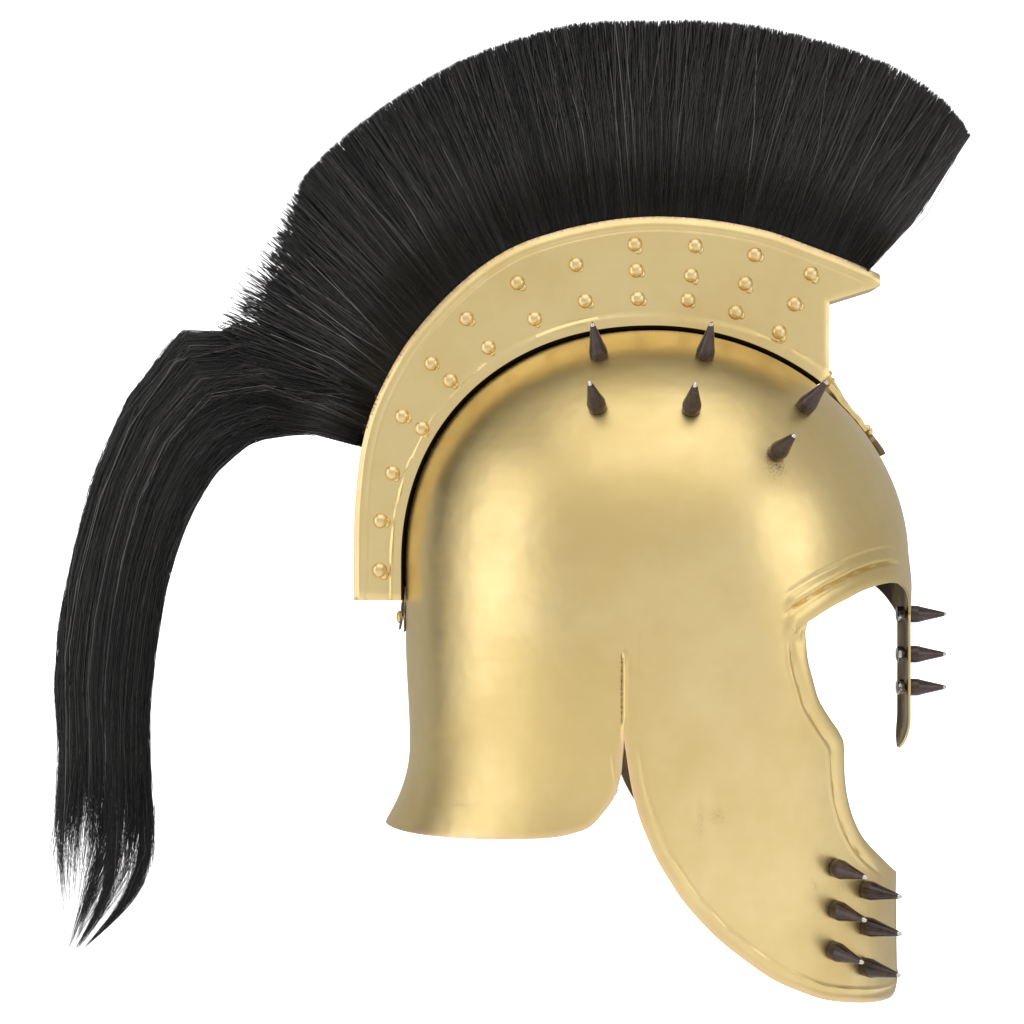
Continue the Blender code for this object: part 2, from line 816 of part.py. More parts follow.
def dome_radius(angle):
    """Radius of the skull's mid-line about the dome's centre, by angle above the rear horizontal."""
    along = math.cos(math.radians(angle))
    up = math.sin(math.radians(angle))
    reach = BACK_REACH if along > 0 else FRONT_REACH
    power = BACK_FULLNESS if along > 0 else FRONT_FULLNESS
    if up <= 0:
        return reach / abs(along)
    return ((abs(along) / reach) ** power + (up / DOME_HEIGHT) ** power) ** (-1.0 / power)


def crest_point(angle, height, side=0.0):
    """A point this high above the holder's inner edge, seen from the side."""
    radius = dome_radius(angle) + HOLDER_GAP + height
    forward = -radius * math.cos(math.radians(angle))
    drop = DOME_HEIGHT - radius * math.sin(math.radians(angle))
    return side_view(forward, drop, side)


def plate_height(angle):
    return HOLDER_HEIGHT * from_table(HOLDER_PROFILE, angle)


def outer_edge(start, end, inset=0.0):
    """Points along the holder's outer edge, smoothed through its profile."""
    table = [Vector(crest_point(a, HOLDER_HEIGHT * h)[1:]) for a, h in HOLDER_PROFILE]
    fine = resample(table, 96)
    centre = Vector((0.0, WALL - DOME_HEIGHT))
    found = []
    for point in fine:
        arm = point - centre
        angle = math.degrees(math.atan2(arm.y, arm.x))
        if start - 1e-6 <= angle <= end + 1e-6:
            found.append(centre + arm * (1.0 - inset / arm.length))
    return [Vector((0.0, p.x, p.y)) for p in found]


def thinned(points, steps):
    last = len(points) - 1
    return [points[round(last * i / steps)] for i in range(steps + 1)]


def holder_outline():
    """The holder plate's outline: outer edge from the rear, beak, front edge, toe, inner edge."""
    outline = thinned(outer_edge(REAR_ANGLE, HOLDER_PROFILE[-1][0]), HOLDER_STEPS)
    outline.append(side_view(BEAK_REACH, -BEAK_RISE))
    outline.append(side_view(BEAK_REACH, BEAK_END - BEAK_RISE))
    outline.append(side_view(HOLDER_FRONT_FORWARD, -BEAK_ROOT_RISE))
    outline.append(side_view(HOLDER_FRONT_FORWARD, HOLDER_TOE_DROP))
    inner = [
        crest_point(mix(TOE_ANGLE, rear_inner_angle(), i / HOLDER_STEPS), 0.0)
        for i in range(HOLDER_STEPS + 1)
    ]
    return outline + inner


def rear_end_drop():
    """The level of the holder's rear end, which is cut off square."""
    return WALL - crest_point(REAR_ANGLE, plate_height(REAR_ANGLE)).z


def rear_inner_angle():
    fall = rear_end_drop() - DOME_HEIGHT
    return -math.degrees(math.atan2(fall, BACK_REACH + HOLDER_GAP))


def channel_outline():
    """The hollow of the holder, open along the outer edge where the hair is set."""
    wall = HOLDER_PLATE
    inset = math.degrees(wall / BACK_REACH)
    above = 3 * HOLDER_PLATE
    rear = thinned(outer_edge(REAR_ANGLE + inset, TAIL_REAR_ANGLE, wall), 5)
    mouth = thinned(outer_edge(TAIL_REAR_ANGLE, HOLDER_PROFILE[-1][0], -above), HOLDER_STEPS)
    front = HOLDER_FRONT_FORWARD - wall
    beak = BEAK_REACH - wall
    outline = rear + mouth
    outline.append(side_view(beak, -BEAK_RISE - above))
    outline.append(side_view(beak, BEAK_END - BEAK_RISE - 1.4 * wall))
    outline.append(side_view(front, -BEAK_ROOT_RISE - 0.6 * wall))
    outline.append(side_view(front, HOLDER_TOE_DROP - 2 * wall))
    start = TOE_ANGLE - 2 * inset
    inner = [
        crest_point(mix(start, rear_inner_angle() + inset, i / HOLDER_STEPS), wall)
        for i in range(HOLDER_STEPS + 1)
    ]
    return outline + inner


def slab(outline, half_thickness):
    """A flat closed body of the outline, from one side to the other."""
    bm = bmesh.new()
    near = [bm.verts.new((-half_thickness, p.y, p.z)) for p in outline]
    face = bm.faces.new(near)
    made = bmesh.ops.extrude_face_region(bm, geom=[face])
    moved = [item for item in made["geom"] if isinstance(item, bmesh.types.BMVert)]
    bmesh.ops.translate(bm, vec=(2 * half_thickness, 0, 0), verts=moved)
    bmesh.ops.recalc_face_normals(bm, faces=bm.faces)
    return bm


def stud_places():
    found = []
    for angle, heights in STUD_STATIONS:
        for share in heights:
            found.append(crest_point(angle, share * plate_height(angle)))
    return found


def add_holder(finish):
    holder = add_object("crest_holder", slab(holder_outline(), HOLDER_HALF_WIDTH), finish)
    channel = slab(channel_outline(), HOLDER_HALF_WIDTH - HOLDER_PLATE)
    cut(holder, as_cutter(add_object("holder_channel", channel)))
    holes = bmesh.new()
    places = [(point, Vector((1, 0, 0))) for point in stud_places()]
    length = 2.4 * HOLDER_HALF_WIDTH
    add_shanks(holes, STUD_SHANK_RADIUS + GAP, length, STUD_SIDES, places)
    cut(holder, as_cutter(add_object("holder_holes", holes)))


def add_studs(finish):
    """Through rivets with a domed head on each side of the holder, one object each."""
    under = HOLDER_HALF_WIDTH + GAP
    half = (
        (0.55 * STUD_RADIUS, under + STUD_RISE),
        (STUD_RADIUS, under + 0.45 * STUD_RISE),
        (STUD_RADIUS, under),
        (STUD_SHANK_RADIUS, under),
    )
    profile = half + tuple((radius, -height) for radius, height in reversed(half))
    first = None
    for number, point in enumerate(stud_places(), 1):
        name = f"stud_{number:02d}"
        if first is None:
            obj = add_object(name, turned_body(profile, STUD_SIDES), finish)
            first = obj
        else:
            obj = bpy.data.objects.new(name, first.data)
            bpy.context.collection.objects.link(obj)
        obj.location = point
        obj.rotation_euler = (0, math.radians(90), 0)


def lofted(sections):
    """A closed body through rings of as many points each."""
    bm = bmesh.new()
    rings = [[bm.verts.new(point) for point in section] for section in sections]
    edges = []
    for ring in rings:
        edges.append([bm.edges.new(pair) for pair in zip(ring, ring[1:] + ring[:1])])
    for a, b in zip(edges, edges[1:]):
        bmesh.ops.bridge_loops(bm, edges=a + b)
    bm.faces.new(rings[0])
    bm.faces.new(rings[-1])
    bmesh.ops.recalc_face_normals(bm, faces=bm.faces)
    return bm


def strap_line(start, end, steps, side):
    """Outer and inner rows of a strip that lies on the skull's mid-line, between two drops."""
    rows = []
    for i in range(steps + 1):
        drop = mix(start, end, i / steps)
        reach = FRONT_REACH if side > 0 else BACK_REACH
        power = FRONT_FULLNESS if side > 0 else BACK_FULLNESS
        rise = max(0.0, (DOME_HEIGHT - drop) / DOME_HEIGHT)
        forward = side * reach * (1.0 - rise**power) ** (1.0 / power)
        arm = Vector((forward / reach**2, rise / DOME_HEIGHT)).normalized()
        rows.append((forward, drop, arm))
    return rows


def strip(rows, half_width, thickness_at, lift):
    """A strip on the skull: each section is a rectangle standing on the surface by lift."""
    sections = []
    for index, (forward, drop, arm) in enumerate(rows):
        low = lift
        high = lift + thickness_at(index)
        points = []
        for side, height in ((-1, low), (1, low), (1, high), (-1, high)):
            place = (forward + arm.x * height, drop - arm.y * height)
            points.append(side_view(*place, side * half_width))
        sections.append(points)
    return lofted(sections)


def add_front_strap(finish):
    """The tongue from the holder's toe down the brow, with its folded clip end."""
    start = WALL - crest_point(TOE_ANGLE, -HOLDER_GAP).z + 2 * GAP
    main = strap_line(start, STRAP_END_DROP, 6, 1)
    clip = strap_line(STRAP_END_DROP, STRAP_END_DROP + STRAP_CLIP_LENGTH, 2, 1)
    rows = main + clip

    def thickness_at(index):
        return STRAP_THICKNESS if index < len(main) else STRAP_CLIP_THICKNESS

    add_object("front_strap", strip(rows, STRAP_HALF_WIDTH, thickness_at, SEAT_GAP), finish)


def add_rear_bracket(finish):
    start = rear_end_drop() + GAP
    rows = strap_line(start, BRACKET_END_DROP, 3, -1)
    bracket = strip(rows, BRACKET_HALF_WIDTH, lambda index: BRACKET_THICKNESS, GAP)
    obj = add_object("rear_bracket", bracket, finish)
    hole = bmesh.new()
    middle = side_view(-BACK_REACH, SCREW_DROP)
    add_shanks(
        hole, SPIKE_SHANK_RADIUS + GAP, 8 * WALL, SPIKE_SIDES, [(middle, Vector((0, 1, 0)))]
    )
    cut(obj, as_cutter(add_object("bracket_hole", hole)))


def add_rear_screw(finish):
    under = BRACKET_THICKNESS + 2 * GAP
    inner = -WALL - SEAT_GAP
    profile = (
        (0.6 * SCREW_RADIUS, under + SCREW_RISE),
        (SCREW_RADIUS, under + 0.4 * SCREW_RISE),
        (SCREW_RADIUS, under),
        (SPIKE_SHANK_RADIUS, under),
        (SPIKE_SHANK_RADIUS, inner),
        (SPIKE_HEAD_RADIUS, inner),
        (SPIKE_HEAD_RADIUS, inner - SPIKE_HEAD_HEIGHT),
    )
    obj = add_object("rear_screw", turned_body(profile, SPIKE_SIDES), finish)
    obj.location = side_view(-back_reach(SCREW_DROP), SCREW_DROP)
    obj.rotation_euler = (math.radians(-90), 0, 0)


def hair_root(angle, height):
    """A point in the crest's plane, this high above the holder's outer edge."""
    return crest_point(angle, plate_height(angle) + height)


def hair_tip(angle):
    radius = BRUSH_RADIUS * from_table(BRUSH_OUTLINE, angle)
    forward = -radius * math.cos(math.radians(angle))
    return side_view(forward, DOME_HEIGHT - radius * math.sin(math.radians(angle)))


def add_brush(finish):
    """The backing block in the holder's channel with the cropped locks fused to it."""
    stations = 2 * BRUSH_LOCKS
    start = BRUSH_REAR_ANGLE + math.degrees(GAP / BRUSH_RADIUS)
    block_side = HOLDER_HALF_WIDTH - HOLDER_PLATE - GAP
    sections = []
    for i in range(stations + 1):
        angle = mix(start, BRUSH_FRONT_ANGLE, i / stations)
        groove = LOCK_GROOVE_DEPTH if i % 2 and i < stations else 0.0
        depth = BLOCK_DEPTH * (1.0 - 0.68 * smooth((angle - 118.0) / 8.0))
        low = hair_root(angle, -depth)
        edge = hair_root(angle, GAP)
        tip = hair_tip(angle)
        near_tip = tip.lerp(edge, groove * 2 / BRUSH_RADIUS)
        wide = BRUSH_TIP_HALF_WIDTH - groove
        halfway = 0.5 * (block_side + wide) - 0.4 * groove
        ring = []
        for place, side in (
            (low, block_side),
            (edge, block_side),
            (edge.lerp(tip, 0.5), halfway),
            (near_tip, wide),
        ):
            ring.append(place + Vector((side, 0, 0)))
        mirrored = [Vector((-p.x, p.y, p.z)) for p in reversed(ring)]
        sections.append(ring + mirrored)
    add_object("crest_brush", lofted(sections), finish)


def tail_place(back_share, drop_share):
    return side_view(-back_share * TAIL_REACH, drop_share * TAIL_DROP)


def add_tail(finish):
    """The long bundle at the rear of the crest: its bound head in the channel, then its locks."""
    block_side = HOLDER_HALF_WIDTH - HOLDER_PLATE - GAP
    upper = BRUSH_REAR_ANGLE - math.degrees(2 * GAP / BACK_REACH)
    lower = TAIL_REAR_ANGLE + math.degrees(2 * GAP / BACK_REACH)
    sections = []
    for height in (-BLOCK_DEPTH, GAP):
        sections.append(tail_ring(hair_root(upper, height), hair_root(lower, height), block_side))
    root = hair_root(upper, GAP)
    tip = hair_tip(upper)
    for along, inner_back, inner_drop, depth in TAIL_ROOT_SECTIONS:
        inner = tail_place(inner_back, inner_drop)
        sections.append(tail_ring(root.lerp(tip, along), inner, depth * TAIL_HALF_DEPTH))
    for outer_back, outer_drop, inner_back, inner_drop, depth in TAIL_SECTIONS:
        outer = tail_place(outer_back, outer_drop)
        inner = tail_place(inner_back, inner_drop)
        sections.append(tail_ring(outer, inner, depth * TAIL_HALF_DEPTH))
    add_object("crest_tail", lofted(sections), finish)


def tail_ring(outer, inner, depth):
    """A section of the tail, an oval from outer to inner edge with grooves between its locks."""
    centre = (outer + inner) / 2
    arm = (outer - inner) / 2
    ring = []
    for i in range(2 * TAIL_LOCKS):
        angle = math.pi * i / TAIL_LOCKS
        share = 1.0 - (LOCK_GROOVE_DEPTH / TAIL_HALF_DEPTH if i % 2 else 0.0)
        along = abs(math.cos(angle)) ** TAIL_SQUARENESS * math.copysign(share, math.cos(angle))
        across = abs(math.sin(angle)) ** TAIL_SQUARENESS * math.copysign(share, math.sin(angle))
        ring.append(centre + arm * along + Vector((depth * across, 0, 0)))
    return ring


def main():
    clear_scene()
    brass = material("brass", BRASS, 1.0, 0.34)
    spike = material("spike_brown", SPIKE_BROWN, 0.4, 0.35)
    hair = material("hair_black", HAIR_BLACK, 0.0, 0.6)
    bracket = material("bracket_brown", BRACKET_BROWN, 0.8, 0.5)
    tree = add_shell(brass)
    add_spikes(tree, spike)
    add_holder(brass)
    add_studs(brass)
    add_front_strap(brass)
    add_rear_bracket(bracket)
    add_rear_screw(brass)
    add_brush(hair)
    add_tail(hair)


main()
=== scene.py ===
"""Looks of a crested Greek helmet in satin brass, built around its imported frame.

Everything is in metres with +Z up. The face looks along -Y and the origin is the inner apex of
the skull. Side views are written as forward (along -Y) and drop (down from the outer apex).
"""

from __future__ import annotations

import logging
import math
import random
from collections.abc import Callable, Sequence
from dataclasses import dataclass, field
from enum import Enum
from typing import ClassVar

import bmesh
import bpy
import numpy as np
from bmesh.types import BMesh, BMFace, BMLayerItem, BMVert
from bpy.types import Material, NodeSocket, Object
from mathutils import Matrix, Vector
from mathutils.kdtree import KDTree

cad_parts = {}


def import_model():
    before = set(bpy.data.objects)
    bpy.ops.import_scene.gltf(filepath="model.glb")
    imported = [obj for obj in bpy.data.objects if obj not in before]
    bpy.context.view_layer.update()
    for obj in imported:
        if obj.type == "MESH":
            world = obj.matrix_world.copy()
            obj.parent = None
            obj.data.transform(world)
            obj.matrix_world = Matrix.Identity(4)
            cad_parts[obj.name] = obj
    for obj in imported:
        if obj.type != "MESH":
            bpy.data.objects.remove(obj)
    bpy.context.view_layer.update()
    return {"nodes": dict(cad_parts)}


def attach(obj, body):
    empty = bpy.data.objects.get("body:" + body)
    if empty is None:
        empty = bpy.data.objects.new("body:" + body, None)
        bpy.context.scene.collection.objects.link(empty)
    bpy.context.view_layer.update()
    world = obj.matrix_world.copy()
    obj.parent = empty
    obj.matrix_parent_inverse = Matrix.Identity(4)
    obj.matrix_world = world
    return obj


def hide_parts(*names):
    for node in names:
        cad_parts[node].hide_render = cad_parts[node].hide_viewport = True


LOG = logging.getLogger("helmet")
MM = 0.001

Pair = tuple[float, float]
Row = Sequence[Pair]
Table = Sequence[tuple[float, ...]]
Color = tuple[float, float, float]


class Hand(Enum):
    """Side of the helmet that a piece is on."""

    RIGHT = -1
    LEFT = 1


class Slot(Enum):
    """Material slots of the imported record."""

    BRASS = "brass"
    SPIKE = "spike_brown"
    BRACKET = "bracket_brown"
    HAIR = "hair_black"


# ---------------------------------------------------------------- small sums


def mix(a: float, b: float, share: float) -> float:
    """Value that lies this share of the way from a to b."""
    return a + (b - a) * share


def smooth(x: float) -> float:
    """Smooth step of x from 0 to 1."""
    x = min(1.0, max(0.0, x))
    return x * x * (3.0 - 2.0 * x)


def ramp(x: float, start: float, run: float) -> float:
    """Smooth rise from 0 at the start to 1 at the end of a run."""
    return smooth((x - start) / run)


def bump(x: float, middle: float, half_width: float) -> float:
    """Rounded bump of height 1 that is 0 beyond its half width.

    Args:
        x: Where the bump is read.
        middle: Where its top lies.
        half_width: Distance from its top to its foot.

    Returns:
        Height from 0 to 1.
    """
    away = abs(x - middle) / half_width
    return 0.0 if away >= 1.0 else 0.5 + 0.5 * math.cos(math.pi * away)


@dataclass(frozen=True)
class Bead:
    """Rounded line along a border, raised, or sunk where its height is below 0."""

    height: float
    middle: float
    half_width: float

    def at(self, away: float) -> float:
        """Height at a distance from the border."""
        return self.height * bump(away, self.middle, self.half_width)


def relief(beads: Sequence[Bead], away: float) -> float:
    """Height of several beads together at a distance from their border."""
    return sum(bead.at(away) for bead in beads)


def lip(away: float, height: float, width: float, power: float) -> float:
    """Height of a band that is turned over along its border.

    Args:
        away: Distance from the border.
        height: Height of the band's middle.
        width: Width of the band.
        power: Exponent that makes its top flatter below 1.

    Returns:
        Height from 0 to the band's height.
    """
    return height * math.sin(math.pi * away / width) ** power if away < width else 0.0


def rounding(away: float, depth: float, run: float) -> float:
    """How far a face falls back near its edge, by the distance from the edge."""
    return depth * (1.0 - smooth(away / run))


def along(points: Sequence[Vector], shares: Sequence[float]) -> list[Vector]:
    """Points of a smooth curve at these shares of its length.

    Args:
        points: Points that the curve passes through, of any dimension.
        shares: Shares of its length from 0 to 1, rising.

    Returns:
        One point for each share.
    """
    line = [Vector(p) for p in points]
    ends = [2 * line[0] - line[1], *line, 2 * line[-1] - line[-2]]
    fine: list[Vector] = []
    for before, a, b, after in zip(ends, ends[1:], ends[2:], ends[3:]):
        for i in range(12):
            t = i / 12
            bend = (b - before) * t + (2 * before - 5 * a + 4 * b - after) * t * t
            bend += (3 * a - before - 3 * b + after) * t * t * t
            fine.append(a + bend / 2)
    fine.append(line[-1])
    lengths = [0.0]
    for a, b in zip(fine, fine[1:]):
        lengths.append(lengths[-1] + (b - a).length)
    found = []
    at = 0
    for share in shares:
        wanted = lengths[-1] * share
        while at < len(fine) - 2 and lengths[at + 1] < wanted:
            at += 1
        run = lengths[at + 1] - lengths[at]
        part = (wanted - lengths[at]) / run if run else 0.0
        found.append(fine[at].lerp(fine[at + 1], min(1.0, max(0.0, part))))
    return found


def even(steps: int) -> list[float]:
    """Evenly spaced shares from 0 to 1."""
    return [i / steps for i in range(steps + 1)]


def crowded(steps: int, start: float = 1.0, end: float = 1.0) -> list[float]:
    """Shares from 0 to 1 that lie closer together towards the ends.

    Args:
        steps: Number of steps.
        start: Size of the first step as a share of the middle one.
        end: Size of the last step as a share of the middle one.

    Returns:
        One more share than there are steps.
    """
    sizes = []
    for i in range(steps):
        x = (i + 0.5) / steps
        rise = mix(start, 1.0, smooth(x / 0.4))
        fall = mix(end, 1.0, smooth((1.0 - x) / 0.4))
        sizes.append(rise * fall)
    total = sum(sizes)
    shares = [0.0]
    for size in sizes:
        shares.append(shares[-1] + size / total)
    shares[-1] = 1.0
    return shares


def edged(first: int, middle: int, last: int, wide_first: float, wide_last: float) -> list[float]:
    """Shares from 0 to 1 with close steps inside both ends.

    Args:
        first: Number of close steps at the start.
        middle: Number of steps between, which grow and shrink smoothly.
        last: Number of close steps at the end.
        wide_first: Share that the first close steps take up.
        wide_last: Share that the last close steps take up.

    Returns:
        One more share than there are steps.
    """
    rest = 1.0 - wide_first - wide_last
    mean = rest / middle
    inner = crowded(middle, wide_first / first / mean, wide_last / last / mean)
    start = [wide_first * i / first for i in range(first)]
    end = [1.0 - wide_last * (last - i) / last for i in range(1, last + 1)]
    return start + [wide_first + rest * share for share in inner] + end


def side_view(forward: float, drop: float, side: float = 0.0) -> Vector:
    """Point of the row frame from its place in the side view, in metres."""
    return Vector((side, -forward, SkullForm.wall - drop))


# ---------------------------------------------------------------- mesh makers


def sheet(bm: BMesh, columns: int, rows: int, place: Callable[[int, int], Vector]) -> list[BMVert]:
    """Adds a grid whose vertices go where place says.

    Args:
        bm: Mesh that it is added to.
        columns: Number of faces across.
        rows: Number of faces down.
        place: Point for a column and a row.

    Returns:
        The grid's vertices.
    """
    made = bmesh.ops.create_grid(bm, x_segments=columns, y_segments=rows, size=0.5)
    for vertex in made["verts"]:
        column = round((vertex.co.x + 0.5) * columns)
        row = round((0.5 - vertex.co.y) * rows)
        vertex.co = place(column, row)
    return made["verts"]


def mirror(bm: BMesh, merge: float) -> None:
    """Adds the mirror image across the mid-plane, merged where it lies this close."""
    bmesh.ops.mirror(bm, geom=whole(bm), axis="X", merge_dist=merge)


def whole(bm: BMesh) -> list:
    """All vertices, edges and faces of a mesh."""
    return bm.verts[:] + bm.edges[:] + bm.faces[:]


def close_body(bm: BMesh, merge: float = 1e-6) -> None:
    """Merges doubled vertices, caps the open ends and turns the faces outward."""
    bmesh.ops.remove_doubles(bm, verts=bm.verts, dist=merge)
    bmesh.ops.holes_fill(bm, edges=[e for e in bm.edges if e.is_boundary])
    bmesh.ops.recalc_face_normals(bm, faces=bm.faces)


def turn_faces(bm: BMesh, face: BMFace, way: Sequence[float]) -> None:
    """Turns all faces over if this one looks away from a direction."""
    if face.normal.dot(Vector(way)) < 0:
        bmesh.ops.reverse_faces(bm, faces=bm.faces)


def lathe(bm: BMesh, profile: Row, sides: int, matrix: Matrix) -> list[BMVert]:
    """Adds a closed body turned about Z, then moved by the matrix.

    Args:
        bm: Mesh that it is added to.
        profile: (radius, height) pairs from top to bottom.
        sides: Number of steps round.
        matrix: Where the body goes.

    Returns:
        The body's vertices.
    """
    part = bmesh.new()
    points = [part.verts.new((radius, 0.0, height)) for radius, height in profile]
    edges = [part.edges.new(pair) for pair in zip(points, points[1:])]
    bmesh.ops.spin(
        part,
        geom=points + edges,
        cent=(0, 0, 0),
        axis=(0, 0, 1),
        angle=2 * math.pi,
        steps=sides,
        use_merge=True,
    )
    close_body(part, 1e-7)
    bmesh.ops.transform(part, matrix=matrix, verts=part.verts)
    return join(bm, part)


def dome_profile(radius: float, rise: float, angles: Sequence[float]) -> list[Pair]:
    """(radius, height) pairs of a dome at angles from its top, in radians."""
    return [(radius * math.sin(angle), rise * math.cos(angle)) for angle in angles]


def hexagon(bm: BMesh, radius: float, height: float, matrix: Matrix, edge: float) -> None:
    """Adds a bolt's head or a nut with rounded edges.

    Args:
        bm: Mesh that it is added to.
        radius: Distance of its corners from the middle.
        height: Its height.
        matrix: Where its middle goes.
        edge: Width of its rounded edges.
    """
    made = bmesh.ops.create_cone(
        bm,
        cap_ends=True,
        segments=6,
        radius1=radius,
        radius2=radius,
        depth=height,
        matrix=matrix,
    )
    bmesh.ops.bevel(
        bm,
        geom=list({e for v in made["verts"] for e in v.link_edges}),
        offset=edge,
        offset_type="OFFSET",
        affect="EDGES",
        segments=2,
        profile=0.5,
        material=-1,
    )


def join(bm: BMesh, part: BMesh) -> list[BMVert]:
    """Moves a part's geometry into the mesh and frees the part.

    Args:
        bm: Mesh that takes it.
        part: Mesh that is used up.

    Returns:
        The new vertices.
    """
    mesh = bpy.data.meshes.new("part")
    part.to_mesh(mesh)
    part.free()
    before = len(bm.verts)
    bm.from_mesh(mesh)
    bpy.data.meshes.remove(mesh)
    bm.verts.ensure_lookup_table()
    return bm.verts[before:]


def wear_and_shade_layers(bm: BMesh) -> tuple[BMLayerItem, BMLayerItem]:
    """Adds the rim and soot attributes that the brass reads; soot holds stains and painted shade.
    """
    return bm.verts.layers.float.new("rim"), bm.verts.layers.float.new("soot_and_shade")


def search_tree(points: Sequence[Vector]) -> KDTree:
    """Search tree of these points."""
    tree = KDTree(len(points))
    for index, point in enumerate(points):
        tree.insert(point, index)
    tree.balance()
    return tree


def round_edges(obj: Object, width: float, segments: int, degrees: float) -> None:
    """Rounds the edges of an object that are sharper than an angle."""
    rounded = obj.modifiers.new("Round", "BEVEL")
    rounded.width = width
    rounded.segments = segments
    rounded.limit_method = "ANGLE"
    rounded.angle_limit = math.radians(degrees)


def object_of(name: str, bm: BMesh, finish: Material) -> Object:
    """Makes an object of a mesh, which is used up, and links it to the scene."""
    mesh = bpy.data.meshes.new(name)
    bm.to_mesh(mesh)
    bm.free()
    mesh.shade_smooth()
    mesh.materials.append(finish)
    obj = bpy.data.objects.new(name, mesh)
    bpy.context.scene.collection.objects.link(obj)
    return obj


def piece(
    name: str,
    bm: BMesh,
    finish: Material,
    slot: Slot,
    nodes: Sequence[str] = (),
    sharp: float = 40.0,
) -> Object:
    """Makes a finished piece of the helmet from a mesh in place.

    Args:
        name: Name of the piece.
        bm: Mesh in the row frame, which is used up.
        finish: Material that it wears.
        slot: Slot of the record that its finish matches; not used.
        nodes: CAD nodes that it stands for.
        sharp: Angle in degrees past which an edge stays sharp.

    Returns:
        The piece's object.
    """
    obj = object_of(name, bm, finish)
    obj.data.set_sharp_from_angle(angle=math.radians(sharp))
    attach(obj, "root")
    if nodes:
        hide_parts(*nodes)
    LOG.info("%s: %d faces", name, len(obj.data.polygons))
    return obj


# ---------------------------------------------------------------- finishes


class Nodes:
    """Short calls for building one material's node tree."""

    def __init__(self, name: str) -> None:
        """Starts a material with a Principled shader.

        Args:
            name: Name of the material.
        """
        self.material = bpy.data.materials.new(name)
        self.material.use_nodes = True
        self.tree = self.material.node_tree
        self.shader = self.tree.nodes["Principled BSDF"]

    def add(self, kind: str, **values: object) -> bpy.types.Node:
        """Adds a node and sets its properties and inputs.

        Args:
            kind: Node type's name.
            values: Properties, or inputs by name with _ for a space.

        Returns:
            The node.
        """
        node = self.tree.nodes.new(kind)
        for key, value in values.items():
            label = key.replace("_", " ")
            socket = node.inputs.get(label)
            if socket is None:
                setattr(node, key, value)
            elif isinstance(value, NodeSocket):
                self.tree.links.new(value, socket)
            else:
                socket.default_value = value
        return node

    def link(self, source: NodeSocket, target: str) -> None:
        """Links a socket to an input of the shader."""
        self.tree.links.new(source, self.shader.inputs[target])

    def attribute(self, name: str) -> NodeSocket:
        """Value of a piece's own attribute."""
        return self.add("ShaderNodeAttribute", attribute_name=name).outputs["Fac"]

    def place(self, scale: Sequence[float] = (1, 1, 1)) -> NodeSocket:
        """Object coordinates, stretched by a scale for each axis."""
        coordinate = self.add("ShaderNodeTexCoord").outputs["Object"]
        return self.add("ShaderNodeMapping", Vector=coordinate, Scale=scale).outputs["Vector"]

    def noise(
        self,
        scale: float,
        detail: float = 4.0,
        rough: float = 0.55,
        stretch: Sequence[float] = (1, 1, 1),
    ) -> NodeSocket:
        """Noise in the row frame.

        Args:
            scale: Cells in a metre.
            detail: Number of octaves.
            rough: Share that each octave keeps.
            stretch: Scale of each axis.

        Returns:
            Its value from 0 to 1.
        """
        return self.add(
            "ShaderNodeTexNoise",
            Vector=self.place(stretch),
            Scale=scale,
            Detail=detail,
            Roughness=rough,
        ).outputs["Fac"]

    def span(
        self, value: NodeSocket, low: float, high: float, a: float = 0.0, b: float = 1.0
    ) -> NodeSocket:
        """Carries the span from low to high over to the span from a to b, smoothly.

        Args:
            value: Socket that is read.
            low: Value that gives a.
            high: Value that gives b.
            a: Result at the low end.
            b: Result at the high end.

        Returns:
            The result's socket.
        """
        node = self.add("ShaderNodeMapRange", interpolation_type="SMOOTHSTEP")
        self.tree.links.new(value, node.inputs["Value"])
        for label, number in (("From Min", low), ("From Max", high), ("To Min", a), ("To Max", b)):
            node.inputs[label].default_value = number
        return node.outputs["Result"]

    def sum(self, operation: str, a: NodeSocket | float, b: NodeSocket | float) -> NodeSocket:
        """Result of a sum of two values.

        Args:
            operation: Math node's operation.
            a: First socket or number.
            b: Second socket or number.

        Returns:
            The result's socket.
        """
        node = self.add("ShaderNodeMath", operation=operation)
        for socket, value in zip(node.inputs, (a, b)):
            if isinstance(value, (int, float)):
                socket.default_value = value
            else:
                self.tree.links.new(value, socket)
        return node.outputs["Value"]

    def blend(
        self,
        share: NodeSocket,
        a: NodeSocket | Sequence[float],
        b: NodeSocket | Sequence[float],
        kind: str = "MIX",
    ) -> NodeSocket:
        """Blend of two colours.

        Args:
            share: Share of the second colour.
            a: First colour or its socket.
            b: Second colour or its socket.
            kind: Blend type.

        Returns:
            The colour's socket.
        """
        node = self.add("ShaderNodeMix", data_type="RGBA", blend_type=kind)
        self.tree.links.new(share, node.inputs[0])
        for index, value in ((6, a), (7, b)):
            if isinstance(value, NodeSocket):
                self.tree.links.new(value, node.inputs[index])
            else:
                node.inputs[index].default_value = (*value, 1.0)
        return node.outputs[2]

    def relief(self, *layers: tuple[NodeSocket, float]) -> None:
        """Stacks bump layers onto the shader's normal.

        Args:
            layers: (height socket, height in metres) pairs.
        """
        normal = None
        for height, distance in layers:
            node = self.add("ShaderNodeBump", Height=height, Distance=distance, Strength=1.0)
            if normal is not None:
                self.tree.links.new(normal, node.inputs["Normal"])
            normal = node.outputs["Normal"]
        self.link(normal, "Normal")


